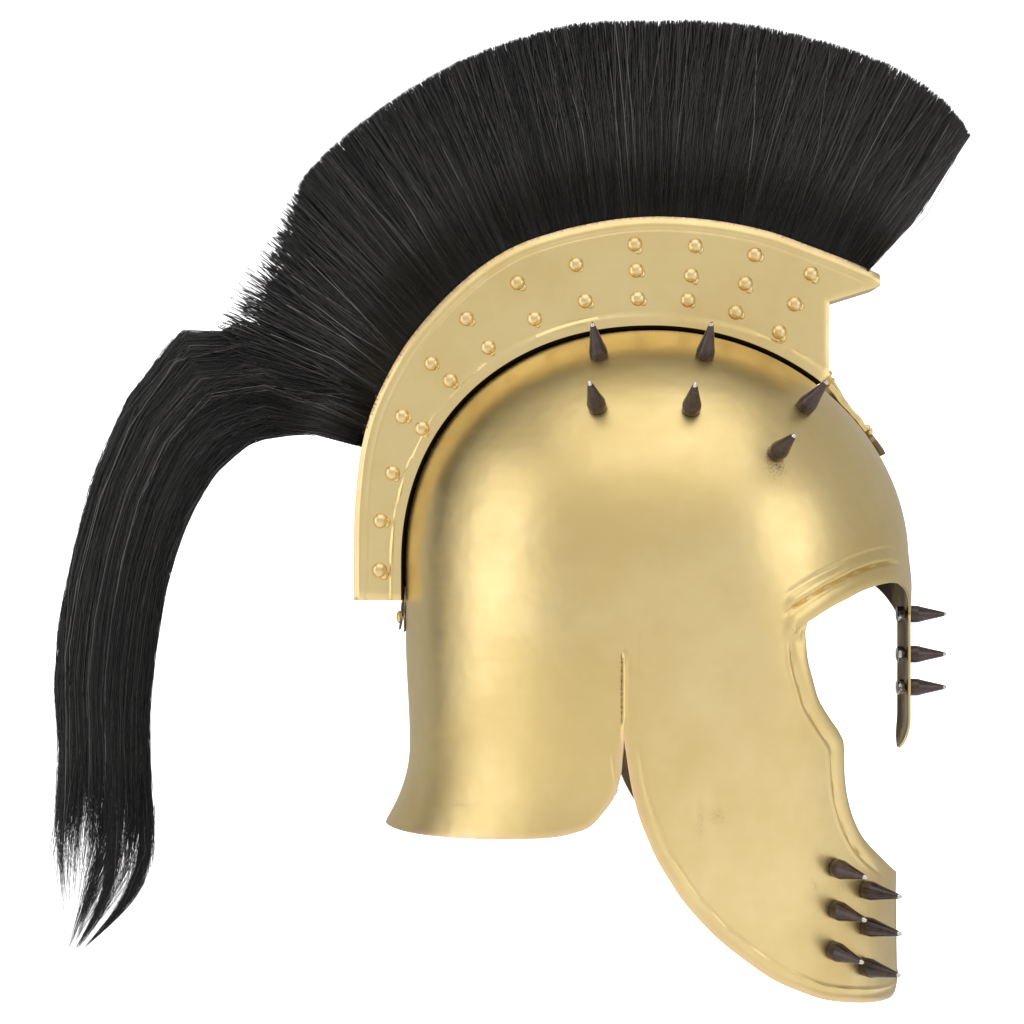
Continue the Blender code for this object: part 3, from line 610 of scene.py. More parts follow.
@dataclass(frozen=True)
class SatinBrass:
    """Hand-rubbed sheet brass: pale yellow, cloudy, with thin brushing and brown rims, and brown
    soot that also paints shade.
    """

    name: str = "satin_brass"
    pale: Color = (0.78, 0.615, 0.305)
    deep: Color = (0.67, 0.505, 0.215)
    brown: Color = (0.10, 0.065, 0.035)
    pink: Color = (0.76, 0.53, 0.34)
    roughness: float = 0.34
    brush_scale: float = 420.0

    def material(self) -> Material:
        """Material whose rim tarnish follows the piece's own rim attribute."""
        n = Nodes(self.name)
        cloud = n.noise(9.0, 5.0, 0.6)
        patch = n.noise(28.0, 4.0, 0.6)
        color = n.blend(n.span(cloud, 0.35, 0.68), self.pale, self.deep)
        color = n.blend(n.span(patch, 0.56, 0.80, 0.0, 0.35), color, self.deep)
        rim = n.attribute("rim")
        speckle = n.noise(160.0, 3.0, 0.7)
        worn = n.sum("MULTIPLY", rim, n.span(speckle, 0.30, 0.62, 0.35, 1.0))
        color = n.blend(worn, color, self.pink)
        # the soot attribute turns the brass brown: real stains and the slit's line, and painted
        # shade at the stud feet and, where it is full, under the holder and the strap
        soot_and_shade = n.attribute("soot_and_shade")
        grain = n.noise(1300.0, 2.0, 0.6)
        dust_and_shade = n.sum("MULTIPLY", soot_and_shade, n.span(grain, 0.42, 0.62, 0.12, 1.0))
        dust_and_shade = n.sum("MAXIMUM", dust_and_shade, n.span(soot_and_shade, 0.9, 1.0))
        color = n.blend(dust_and_shade, color, self.brown)
        n.link(color, "Base Color")
        n.shader.inputs["Metallic"].default_value = 1.0
        brush = n.noise(1.0, 3.0, 0.7, (14.0, 14.0, self.brush_scale))
        rough = n.span(cloud, 0.3, 0.7, self.roughness - 0.05, self.roughness + 0.07)
        rough = n.sum("ADD", rough, n.span(brush, 0.3, 0.7, -0.015, 0.02))
        rough = n.sum("ADD", rough, n.sum("MULTIPLY", dust_and_shade, 0.3))
        n.link(rough, "Roughness")
        dents = n.noise(55.0, 2.0, 0.5)
        n.relief((dents, 0.35 * MM), (brush, 0.006 * MM), (speckle, 0.015 * MM))
        return n.material


@dataclass(frozen=True)
class BrownSpike:
    """Dark brown enamel over steel, rubbed bright at the tip."""

    name: str = "spike_enamel"
    brown: Color = (0.040, 0.025, 0.021)
    red: Color = (0.072, 0.043, 0.035)
    bright: Color = (0.62, 0.58, 0.55)

    def material(self) -> Material:
        """Material whose bright metal follows the piece's own bare attribute."""
        n = Nodes(self.name)
        streak = n.noise(240.0, 3.0, 0.6)
        color = n.blend(n.span(streak, 0.35, 0.7), self.brown, self.red)
        bare = n.attribute("bare")
        shown = n.span(n.sum("ADD", bare, n.span(streak, 0.3, 0.7, -0.18, 0.18)), 0.42, 0.58)
        n.link(n.blend(shown, color, self.bright), "Base Color")
        n.link(n.sum("ADD", n.sum("MULTIPLY", shown, 0.75), 0.2), "Metallic")
        n.link(n.span(streak, 0.3, 0.7, 0.13, 0.25), "Roughness")
        n.relief((streak, 0.05 * MM))
        return n.material


@dataclass(frozen=True)
class DarkBracket:
    """Brass gone brown and matt with heat and tarnish."""

    name: str = "bracket_tarnish"
    brown: Color = (0.20, 0.14, 0.085)
    worn: Color = (0.52, 0.42, 0.24)

    def material(self) -> Material:
        """Material with worn patches."""
        n = Nodes(self.name)
        patch = n.noise(260.0, 4.0, 0.65)
        n.link(n.blend(n.span(patch, 0.50, 0.66), self.brown, self.worn), "Base Color")
        n.shader.inputs["Metallic"].default_value = 0.9
        n.link(n.span(patch, 0.3, 0.7, 0.52, 0.36), "Roughness")
        n.relief((patch, 0.15 * MM))
        return n.material


@dataclass(frozen=True)
class InnerBrass:
    """Unpolished inner face of the sheet, brown and streaky."""

    name: str = "inner_brass"
    dark: Color = (0.16, 0.115, 0.065)
    light: Color = (0.50, 0.38, 0.20)

    def material(self) -> Material:
        """Material with long rubbed streaks."""
        n = Nodes(self.name)
        streak = n.noise(1.0, 4.0, 0.65, (60.0, 60.0, 14.0))
        n.link(n.blend(n.span(streak, 0.42, 0.72), self.dark, self.light), "Base Color")
        n.shader.inputs["Metallic"].default_value = 1.0
        n.link(n.span(streak, 0.3, 0.7, 0.5, 0.36), "Roughness")
        n.relief((n.noise(90.0, 3.0), 0.4 * MM))
        return n.material


@dataclass(frozen=True)
class BlackHair:
    """Coarse black horsehair with a few paler hairs."""

    name: str = "black_hair"
    black: Color = (0.009, 0.0088, 0.0085)
    grey: Color = (0.058, 0.055, 0.052)
    pale: Color = (0.22, 0.21, 0.20)
    roughness: float = 0.42

    def material(self) -> Material:
        """Material whose tone follows each strand's own tone attribute."""
        n = Nodes(self.name)
        tone = n.attribute("tone")
        color = n.blend(n.span(tone, 0.30, 0.93), self.black, self.grey)
        color = n.blend(n.span(tone, 0.955, 1.0), color, self.pale)
        n.link(color, "Base Color")
        gloss = n.noise(700.0, 2.0)
        rough = n.span(gloss, 0.3, 0.7, self.roughness - 0.08, self.roughness + 0.1)
        n.link(rough, "Roughness")
        n.shader.inputs["Specular IOR Level"].default_value = 0.4
        return n.material


@dataclass(frozen=True)
class PaperFloor:
    """Seamless white paper."""

    name: str = "white_paper"
    white: Color = (0.92, 0.92, 0.92)
    glow: float = 0.9

    def material(self) -> Material:
        """Matt white material with a faint tooth."""
        n = Nodes(self.name)
        tooth = n.noise(300.0, 3.0)
        n.link(n.blend(n.span(tooth, 0.3, 0.7), self.white, (0.94, 0.94, 0.94)), "Base Color")
        n.shader.inputs["Roughness"].default_value = 0.9
        n.shader.inputs["Emission Color"].default_value = (1.0, 1.0, 1.0, 1.0)
        n.shader.inputs["Emission Strength"].default_value = self.glow
        return n.material


# ---------------------------------------------------------------- the skull's form


@dataclass
class SkullForm:
    """Sizes of the shell's outer face, and the sums that give its points."""

    wall: ClassVar[float] = 1.2 * MM
    back_reach: float = 122.0 * MM
    front_reach: float = 127.0 * MM
    half_width: float = 105.0 * MM
    widest_forward: float = 15.0 * MM
    height: float = 116.2 * MM
    ring: float = 100.0 * MM
    back_fullness: float = 2.15
    front_fullness: float = 2.0
    brow_step: float = 2.0 * MM
    cheek_drop: float = 324.5 * MM
    cheek_draw_in: float = 4.4 * MM
    cheek_taper: float = 0.13
    nasal_half_width: float = 12.5 * MM
    nasal_root: float = 142.0 * MM
    nasal_drop: float = 208.0 * MM
    nasal_round: float = 16.0 * MM
    nasal_curl: float = 4.5 * MM
    notch_forward: float = -19.5 * MM
    notch_drop: float = 190.8 * MM
    neck_drop: float = 246.2 * MM
    flare_reach: float = 13.5 * MM
    flare_height: float = 41.0 * MM
    neck_nip: float = 2.0 * MM

    def front(self, drop: float) -> float:
        """Reach of the front mid-line at a drop."""
        step = self.brow_step * ramp(drop, 0.93 * self.height, 0.17 * self.height)
        run = 0.59 * (self.cheek_drop - self.nasal_root)
        return self.front_reach + step - self.cheek_draw_in * ramp(drop, self.nasal_root, run)

    def back(self, drop: float) -> float:
        """Reach of the back mid-line at a drop, without the rim's flare."""
        start = 0.79 * self.notch_drop
        run = self.neck_drop - self.flare_height - start
        return self.back_reach - self.neck_nip * ramp(drop, start, run)

    def width(self, drop: float) -> float:
        """Half width at a drop."""
        share = max(0.0, (drop - self.height) / (self.cheek_drop - self.height))
        return self.half_width * (1.0 - self.cheek_taper * share * share)

    def powers(self, drop: float) -> Pair:
        """Exponents of the plan's front half at a drop."""
        share = smooth((drop - 0.9 * self.ring) / (self.notch_drop - 0.8 * self.ring))
        return 2.0 + share, 0.5 + 0.3 * share

    def dome(self, drop: float, turn: float) -> float:
        """Share of its full size that the plan has at a drop over the dome."""
        if drop >= self.height:
            return 1.0
        power = mix(self.back_fullness, self.front_fullness, smooth(turn))
        rise = (self.height - drop) / self.height
        return max(0.0, 1.0 - rise**power) ** (1.0 / power)

    def flare(self, turn: float, drop: float) -> float:
        """How far the neck guard's rim turns out."""
        rise = max(0.0, (drop - self.neck_drop + self.flare_height) / self.flare_height)
        edge = self.turn_at(self.notch_forward, self.notch_drop)
        if turn > edge:
            return 0.0
        return self.flare_reach * rise * rise * (1.0 - 0.75 * turn / edge)

    def plan(self, turn: float, drop: float) -> Pair:
        """Forward and side of the outer face.

        Args:
            turn: 0 at the back mid-line and 1 at the front one.
            drop: Distance below the outer apex.

        Returns:
            (forward, side) in metres.
        """
        scale = self.dome(drop, turn)
        width = self.width(drop)
        if turn <= 0.5:
            angle = turn * math.pi
            back = self.back(drop) + self.widest_forward
            forward = self.widest_forward - back * math.cos(angle)
            side = width * math.sin(angle)
            out = self.flare(turn, drop) if drop > self.notch_drop * 0.9 else 0.0
            return scale * forward - out * math.cos(angle), scale * side + out * math.sin(angle)
        across = math.sin((turn - 0.5) * math.pi)
        power, root = self.powers(drop)
        forward = self.widest_forward + (self.front(drop) - self.widest_forward) * across
        side = width * max(0.0, 1.0 - across**power) ** root
        return scale * forward, scale * side

    def turn_at(self, forward: float, drop: float) -> float:
        """The turn at which the face is this far forward, from the ring down."""
        forward = forward / self.dome(drop, 0.5)
        if forward <= self.widest_forward:
            share = (self.widest_forward - forward) / (self.back(drop) + self.widest_forward)
            return math.acos(min(1.0, share)) / math.pi
        share = (forward - self.widest_forward) / (self.front(drop) - self.widest_forward)
        return 0.5 + math.asin(min(1.0, share)) / math.pi

    def turn_at_side(self, side: float, drop: float) -> float:
        """The turn near the front mid-line at which the face is this far to the side."""
        power, root = self.powers(drop)
        share = side / (self.width(drop) * self.dome(drop, 1.0))
        across = max(0.0, 1.0 - share ** (1.0 / root)) ** (1.0 / power)
        return 0.5 + math.asin(across) / math.pi

    def point(self, turn: float, drop: float, hand: Hand = Hand.RIGHT) -> Vector:
        """Point of the outer face."""
        forward, side = self.plan(min(1.0, max(0.0, turn)), drop)
        return side_view(forward, drop, hand.value * side)

    def normal(self, turn: float, drop: float, hand: Hand = Hand.RIGHT) -> Vector:
        """Outward normal of the outer face."""
        step = 2e-4
        over = self.point(min(1.0, turn + step), drop, hand)
        across = over - self.point(max(0.0, turn - step), drop, hand)
        down = self.point(turn, drop + step, hand) - self.point(turn, max(1e-5, drop - step), hand)
        found = across.cross(down).normalized()
        middle = side_view(self.widest_forward, max(self.height, drop))
        outward = self.point(turn, drop, hand) - middle
        return found if found.dot(outward) > 0 else -found

    def turned(self, row: Row) -> list[Vector]:
        """(forward, drop) pairs in millimetres as (turn, drop) points."""
        return [Vector((self.turn_at(f * MM, d * MM), d * MM)) for f, d in row]

    def traced(self, row: Row, shares: Sequence[float]) -> list[Vector]:
        """(turn, drop) points at shares of the side view's smooth curve through a row."""
        return self.turned([tuple(place) for place in along([Vector(p) for p in row], shares)])

    def radius(self, angle: float) -> float:
        """Radius of the mid-line about the dome's centre, by degrees above the rear."""
        flat = math.cos(math.radians(angle))
        up = math.sin(math.radians(angle))
        reach = self.back_reach if flat > 0 else self.front_reach
        power = self.back_fullness if flat > 0 else self.front_fullness
        if up <= 0:
            return reach / abs(flat)
        share = (abs(flat) / reach) ** power + (up / self.height) ** power
        return share ** (-1.0 / power)


# ---------------------------------------------------------------- shell


@dataclass
class Shell:
    """The helmet's wall with its turned borders, brow ridges, slit and solder.

    Rows, beads, lips and the (start, run) pairs where they fade are in millimetres.
    """

    form: SkullForm
    finish: Material
    inner_finish: Material
    eye_corner: Pair = (62.1, 138.9)
    brow_edge: Row = (
        (62.1, 138.9), (72.9, 133.0), (80.6, 129.7), (88.6, 126.4), (97.1, 124.1),
        (105.1, 123.1), (110.5, 123.4), (114.5, 124.6), (119.5, 127.6), (123.6, 132.5),
    )
    eye_cut: Row = (
        (62.1, 138.9), (60.9, 142.4), (61.1, 146.9), (62.0, 155.7), (64.4, 164.7), (67.3, 173.7),
        (73.3, 183.0), (76.9, 187.8), (79.5, 192.5), (80.1, 196.2), (80.2, 201.6), (80.9, 210.8),
        (82.7, 220.2), (86.2, 229.9), (92.8, 240.6), (105.9, 253.8), (113.9, 261.4),
        (117.3, 264.4),
    )
    mouth_edge: Row = ((117.3, 264.4), (118.2, 293.5), (119.5, 320.0))
    cheek_edge: Row = (
        (-19.5, 190.8), (-18.3, 199.6), (-16.9, 208.5), (-15.1, 217.3), (-12.5, 226.2),
        (-9.0, 235.0), (-5.0, 243.8), (0.3, 252.7), (6.1, 261.6), (13.7, 270.6), (22.6, 279.7),
        (33.9, 288.9), (47.1, 298.4), (59.8, 304.9), (71.6, 310.2), (85.4, 314.5),
        (104.1, 320.5), (113.5, 323.3), (117.6, 322.8), (119.5, 320.0),
    )
    neck_rim: Row = (
        (-30.8, 226.8), (-34.2, 230.2), (-38.7, 232.4), (-47.6, 235.2), (-60.9, 237.2),
        (-83.6, 239.6), (-107.4, 242.2),
    )
    neck_front: Row = (
        (-19.5, 190.8), (-20.3, 199.7), (-21.3, 208.6), (-24.3, 217.6), (-30.8, 226.8),
    )
    slit_top: float = 152.0
    slit_end: float = 183.0
    brow_reach: float = 20.0
    brow_start: Pair = (50.0, 6.0)
    brow_end: Pair = (104.0, 17.0)
    brow_lip: tuple[float, float, float] = (0.95, 8.4, 0.8)
    brow_beads: Sequence[Bead] = (
        Bead(-1.25, 9.0, 1.7),
        Bead(0.95, 12.2, 3.2),
        Bead(-0.55, 15.9, 1.6),
    )
    eye_reach: float = 12.0
    eye_start: Pair = (143.0, 14.0)
    eye_end: Pair = (246.0, 16.0)
    eye_lip: tuple[float, float, float] = (0.7, 7.0, 0.6)
    eye_beads: Sequence[Bead] = (Bead(-0.75, 7.6, 1.3), Bead(0.3, 9.4, 1.4))
    corner_solder: tuple[float, float, float, float] = (56.0, 143.2, 6.5, 4.2)
    cheek_start: Pair = (192.0, 10.0)
    cheek_beads: Sequence[Bead] = (Bead(0.70, 6.2, 1.2), Bead(-0.30, 4.0, 2.2))
    mouth_start: Pair = (268.0, 10.0)
    mouth_end: Pair = (312.0, 8.0)
    mouth_bead: Bead = Bead(0.6, 4.2, 1.5)
    slit_beads: Sequence[Bead] = (Bead(-0.5, -1.3, 0.8), Bead(0.95, 0.5, 1.5))
    tab_bead: Bead = Bead(0.9, 0.2, 2.2)
    crease_start: Pair = (142.0, 4.0)
    crease_end: Pair = (172.0, 6.0)
    crease_beads: Sequence[Bead] = (Bead(0.16, 6.8, 1.3), Bead(-0.14, 5.2, 1.2))
    stains: Table = (
        # forward, drop, half width, half height, darkness of the heat and dirt marks
        (49.0, 69.0, 8.0, 8.5, 0.8),
        (21.4, 223.9, 5.0, 5.0, 0.28),
        (14.0, 226.0, 2.0, 15.0, 0.22),
        (-92.5, 225.5, 8.0, 2.6, 0.24),
        (66.0, 256.7, 2.2, 2.2, 0.45),
        (79.0, 259.0, 2.2, 2.2, 0.45),
    )
    back_columns: tuple[int, int, int, float, float] = (1, 38, 8, 0.026, 0.024)
    cheek_columns: tuple[int, int, int, float, float] = (17, 36, 15, 0.095, 0.10)
    brow_columns: int = 44
    nasal_columns: int = 8
    dome_rows: int = 34
    slit_rows: int = 44
    neck_rows: int = 26
    rear_rows: int = 74
    brow_rows: int = 36
    trees: dict[str, KDTree] = field(default_factory=dict)

    def build(self) -> None:
        """Makes the shell piece."""
        self.trees = self.border_trees()
        bm = bmesh.new()
        back, cheek, brow, nasal = self.stations()
        for stations in (back, cheek, brow, nasal):
            self.add_dome(bm, stations)
        self.add_neck(bm, back)
        self.add_cheek(bm, cheek)
        self.add_brow(bm, brow)
        self.add_nasal(bm)
        bmesh.ops.remove_doubles(bm, verts=bm.verts, dist=0.05 * MM)
        mirror(bm, 0.02 * MM)
        bmesh.ops.recalc_face_normals(bm, faces=bm.faces)
        turn_faces(bm, max(bm.faces, key=lambda f: f.calc_center_median().z), (0, 0, 1))
        self.mark_wear(bm)
        obj = piece("helmet_shell_dressed", bm, self.finish, Slot.BRASS, ["helmet_shell"], 50.0)
        obj.data.materials.append(self.inner_finish)
        wall = obj.modifiers.new("Wall", "SOLIDIFY")
        wall.material_offset = 1
        wall.thickness = self.form.wall
        wall.offset = -1.0
        round_edges(obj, 0.35 * MM, 2, 60.0)

    def stations(self) -> tuple[list[float], ...]:
        """Turns of the columns on the ring for the back, cheek, brow and nasal blocks."""
        form = self.form
        slit = form.turn_at(form.notch_forward, form.ring)
        corner = form.turn_at(self.eye_corner[0] * MM, form.ring)
        edge = form.turn_at_side(form.nasal_half_width, form.ring)
        back = [mix(0.0, slit, share) for share in edged(*self.back_columns)]
        cheek = [mix(slit, corner, share) for share in edged(*self.cheek_columns)]
        brow = [mix(corner, edge, share) for share in even(self.brow_columns)]
        nasal = [
            form.turn_at_side(form.nasal_half_width * (1 - share), form.ring)
            for share in even(self.nasal_columns)[:-1]
        ]
        return back, cheek, brow, [*nasal, 1.0]

    def relief_point(self, turn: float, drop: float) -> Vector:
        """Point of the outer face with its beads, creases and lips."""
        point = self.form.point(turn, drop)
        if drop < self.form.ring * 0.9:
            return point
        height = self.height(point)
        return point + self.form.normal(turn, drop) * height if height else point

    def border_trees(self) -> dict[str, KDTree]:
        """Search trees of points close together along each border."""
        brow = [(51.5, 145.2), (56.5, 142.3), *self.brow_edge]
        lines = {
            "brow": brow,
            "eye": self.eye_cut,
            "mouth": self.mouth_edge,
            "cheek": self.cheek_edge,
            "neck": [*self.neck_front, *self.neck_rim[1:], (-121.0, 244.6)],
        }
        return {
            name: search_tree([self.form.point(*at) for at in self.form.traced(line, even(900))])
            for name, line in lines.items()
        }

    def away(self, border: str, point: Vector) -> float:
        """Distance in millimetres from a border."""
        return self.trees[border].find(point)[2] / MM

    def height(self, point: Vector) -> float:
        """Height of the relief over the plain face, in metres.

        Args:
            point: Point of the plain face.

        Returns:
            Height along the outward normal.
        """
        forward = -point.y / MM
        drop = (self.form.wall - point.z) / MM
        total = 0.0
        # each border's part is worked out only in the region that it can reach
        if forward > 40.0 and drop < 170.0:
            total += self.brow_height(point, forward, drop)
        if forward > 35.0 and drop > 138.0:
            total += self.eye_height(point, forward, drop)
        if drop > 186.0 and forward > -25.0:
            total += self.cheek_height(point, drop)
        if drop > 186.0 and forward < -15.0:
            total -= rounding(self.away("neck", point), 0.35, 2.2)
        if 140.0 < drop < 195.0 and -35.0 < forward < 0.0:
            total += self.slit_height(forward, drop)
        return total * MM

    def brow_height(self, point: Vector, forward: float, drop: float) -> float:
        """Lip, groove and ridge above the eye, in millimetres."""
        away = self.away("brow", point)
        if away > self.brow_reach:
            return 0.0
        ends = ramp(forward, *self.brow_start) * (1.0 - ramp(forward, *self.brow_end))
        if forward < 63.0:
            ends *= smooth((142.0 - drop + 0.35 * (62.0 - forward)) / 3.0)
        return ends * (lip(away, *self.brow_lip) + relief(self.brow_beads, away))

    def eye_height(self, point: Vector, forward: float, drop: float) -> float:
        """Turned band round the eye and mouth cut, and the solder at the eye's corner."""
        away = self.away("eye", point)
        total = 0.0
        if away < self.eye_reach and drop > 140.0:
            ends = ramp(drop, *self.eye_start) * (1.0 - ramp(drop, *self.eye_end))
            total += ends * (lip(away, *self.eye_lip) + relief(self.eye_beads, away))
        place, level, wide, tall = self.corner_solder
        spot = math.hypot((forward - place) / wide, (drop - level) / tall)
        if spot < 1.0:
            grit = 0.55 * math.sin(forward * 2.9) * math.sin(drop * 3.7 + forward)
            total += (1.0 - smooth(spot)) * (0.6 + grit)
        return total

    def cheek_height(self, point: Vector, drop: float) -> float:
        """Bead inside the cheek's rear and lower edge, and the crease of its front edge."""
        away = self.away("cheek", point)
        total = 0.0
        if away < 10.0:
            bead = relief(self.cheek_beads, away) - rounding(away, 0.25, 1.4)
            total += ramp(drop, *self.cheek_start) * bead
        if drop > 262.0:
            front = self.away("mouth", point)
            ends = ramp(drop, *self.mouth_start) * (1.0 - ramp(drop, *self.mouth_end))
            total += ends * (self.mouth_bead.at(front) - rounding(front, 0.4, 1.6))
        return total

    def slit_height(self, forward: float, drop: float) -> float:
        """Closed slit over the notch, its solder tab, and the faint crease beside it."""
        away = forward - self.form.notch_forward / MM
        tab = ramp(drop, self.slit_end, 1.2)
        total = ramp(drop, self.slit_top, 2.0) * (1.0 - tab) * relief(self.slit_beads, away)
        total += tab * self.tab_bead.at(away)
        crease = ramp(drop, *self.crease_start) * (1.0 - ramp(drop, *self.crease_end))
        return total + crease * relief(self.crease_beads, away)

    def patch(
        self,
        bm: BMesh,
        top: Sequence[Vector],
        bottom: Sequence[Vector],
        left: Sequence[Vector],
        right: Sequence[Vector],
    ) -> None:
        """Adds a sheet of the shell between four rows of (turn, drop) points.

        Args:
            bm: Mesh that it is added to.
            top: Upper row, from left to right.
            bottom: Lower row.
            left: Left row, from top to bottom.
            right: Right row.
        """
        columns = len(top) - 1
        rows = len(left) - 1

        def place(column: int, row: int) -> Vector:
            u = column / columns
            v = row / rows
            across = left[row].lerp(right[row], u)
            down = top[column].lerp(bottom[column], v)
            corners = top[0].lerp(top[-1], u).lerp(bottom[0].lerp(bottom[-1], u), v)
            return self.relief_point(*(across + down - corners))

        sheet(bm, columns, rows, place)

    def ring_row(self, stations: Sequence[float]) -> list[Vector]:
        """Points of the ring at the stations."""
        return [Vector((turn, self.form.ring)) for turn in stations]

    def down(
        self, turn_of: Callable[[float], float], end: float, shares: Sequence[float]
    ) -> list[Vector]:
        """Points that run down from the ring to a drop in metres."""
        drops = [mix(self.form.ring, end, s) for s in shares]
        return [Vector((turn_of(drop), drop)) for drop in drops]

    def add_dome(self, bm: BMesh, stations: Sequence[float]) -> None:
        """Adds the dome above the ring over these stations."""
        form = self.form
        low = math.acos(form.ring / form.height)

        def place(column: int, row: int) -> Vector:
            angle = mix(math.pi / 2, low, row / self.dome_rows)
            drop = form.height * (1.0 - math.sin(angle))
            share = form.ring / (form.height * (1.0 - math.sin(low)))
            return self.relief_point(stations[column], min(form.ring, drop * share))

        sheet(bm, len(stations) - 1, self.dome_rows, place)

    def slit_line(self) -> list[Vector]:
        """Row down the slit from the ring to the notch."""
        form = self.form
        return self.down(
            lambda drop: form.turn_at(form.notch_forward, drop),
            form.notch_drop,
            even(self.slit_rows),
        )

    def add_neck(self, bm: BMesh, stations: Sequence[float]) -> None:
        """Adds the neck guard."""
        form = self.form
        rim = [*form.turned(self.neck_rim), Vector((0.0, form.neck_drop - 1.6 * MM))]
        shares = [1.0 - turn / stations[-1] for turn in stations[::-1]]
        bottom = along(rim, shares)[::-1]
        right = self.slit_line() + along(form.turned(self.neck_front), even(self.neck_rows))[1:]
        upper = self.down(lambda drop: 0.0, form.notch_drop, even(self.slit_rows))
        end = form.neck_drop - 1.6 * MM
        lower = [mix(form.notch_drop, end, s) for s in even(self.neck_rows)][1:]
        left = upper + [Vector((0.0, drop)) for drop in lower]
        bottom[0] = left[-1]
        bottom[-1] = right[-1]
        self.patch(bm, self.ring_row(stations), bottom, left, right)

    def corner_line(self) -> list[Vector]:
        """Row down from the ring to the eye's corner."""
        forward, drop = (value * MM for value in self.eye_corner)
        return self.down(
            lambda level: self.form.turn_at(forward, level), drop, even(self.brow_rows)
        )

    def add_cheek(self, bm: BMesh, stations: Sequence[float]) -> None:
        """Adds a cheek plate up to the ring."""
        form = self.form
        edge = form.traced(self.cheek_edge, crowded(self.rear_rows, 0.8, 0.4))
        left = self.slit_line() + edge[1:]
        rest = len(left) - 1 - self.brow_rows
        cut = form.traced(self.eye_cut, crowded(rest, 0.8, 0.6))
        right = self.corner_line()[:-1] + cut
        first, last = stations[0], stations[-1]
        shares = [(turn - first) / (last - first) for turn in stations]
        mouth = along(form.turned(self.mouth_edge)[::-1], shares)
        mouth[0] = left[-1]
        mouth[-1] = right[-1]
        self.patch(bm, self.ring_row(stations), mouth, left, right)

    def nasal_line(self) -> list[Vector]:
        """Row down the nasal's edge from the ring to its root."""
        form = self.form
        return self.down(
            lambda drop: form.turn_at_side(form.nasal_half_width, drop),
            form.nasal_root,
            even(self.brow_rows),
        )

    def add_brow(self, bm: BMesh, stations: Sequence[float]) -> None:
        """Adds the strip between the ring and the brow's edge."""
        right = self.nasal_line()
        line = [*self.form.turned(self.brow_edge), right[-1]]
        bottom = along(line, even(len(stations) - 1))
        left = self.corner_line()
        bottom[0] = left[-1]
        bottom[-1] = right[-1]
        self.patch(bm, self.ring_row(stations), bottom, left, right)

    def add_nasal(self, bm: BMesh) -> None:
        """Adds half of the nasal from the ring to its rounded end."""
        form = self.form
        count = self.nasal_columns
        upper = [mix(form.ring, form.nasal_root, s) for s in even(self.brow_rows)]
        lower = [mix(form.nasal_root, form.nasal_drop, s) for s in crowded(30, 1.0, 0.25)][1:]
        drops = upper + lower

        def place(column: int, row: int) -> Vector:
            drop = drops[row]
            into = max(0.0, drop - form.nasal_drop + form.nasal_round) / form.nasal_round
            half = form.nasal_half_width * (1.0 - 0.9 * min(1.0, into) ** 3.2)
            side = half * (1.0 - column / count)
            level = min(drop, form.nasal_root)
            if side > 0.0:
                forward = form.plan(form.turn_at_side(side, level), level)[0]
            else:
                forward = form.dome(level, 1.0) * form.front(level)
            return side_view(forward - form.nasal_curl * into * into, drop, -side)

        sheet(bm, count, len(drops) - 1, place)

    def mark_wear(self, bm: BMesh) -> None:
        """Writes the rim and soot attributes that the brass reads."""
        rim, soot_and_shade = wear_and_shade_layers(bm)
        for vertex in bm.verts:
            at = vertex.co.copy()
            at.x = -abs(at.x)
            forward = -at.y / MM
            drop = (self.form.wall - at.z) / MM
            if drop > 185.0:
                border = "neck" if forward < -19.9 else "cheek"
                vertex[rim] = rounding(self.away(border, at), 0.75, 4.0)
            if vertex.co.x < 0.0:
                for place, level, wide, tall, dark in self.stains:
                    spot = math.hypot((forward - place) / wide, (drop - level) / tall)
                    vertex[soot_and_shade] = max(vertex[soot_and_shade], rounding(spot, dark, 1.0))
            if self.slit_top < drop < self.slit_end:
                line = abs(forward - self.form.notch_forward / MM + 1.2)
                vertex[soot_and_shade] = max(vertex[soot_and_shade], 1.0 - ramp(line, 0.3, 0.35))


# ---------------------------------------------------------------- crest holder


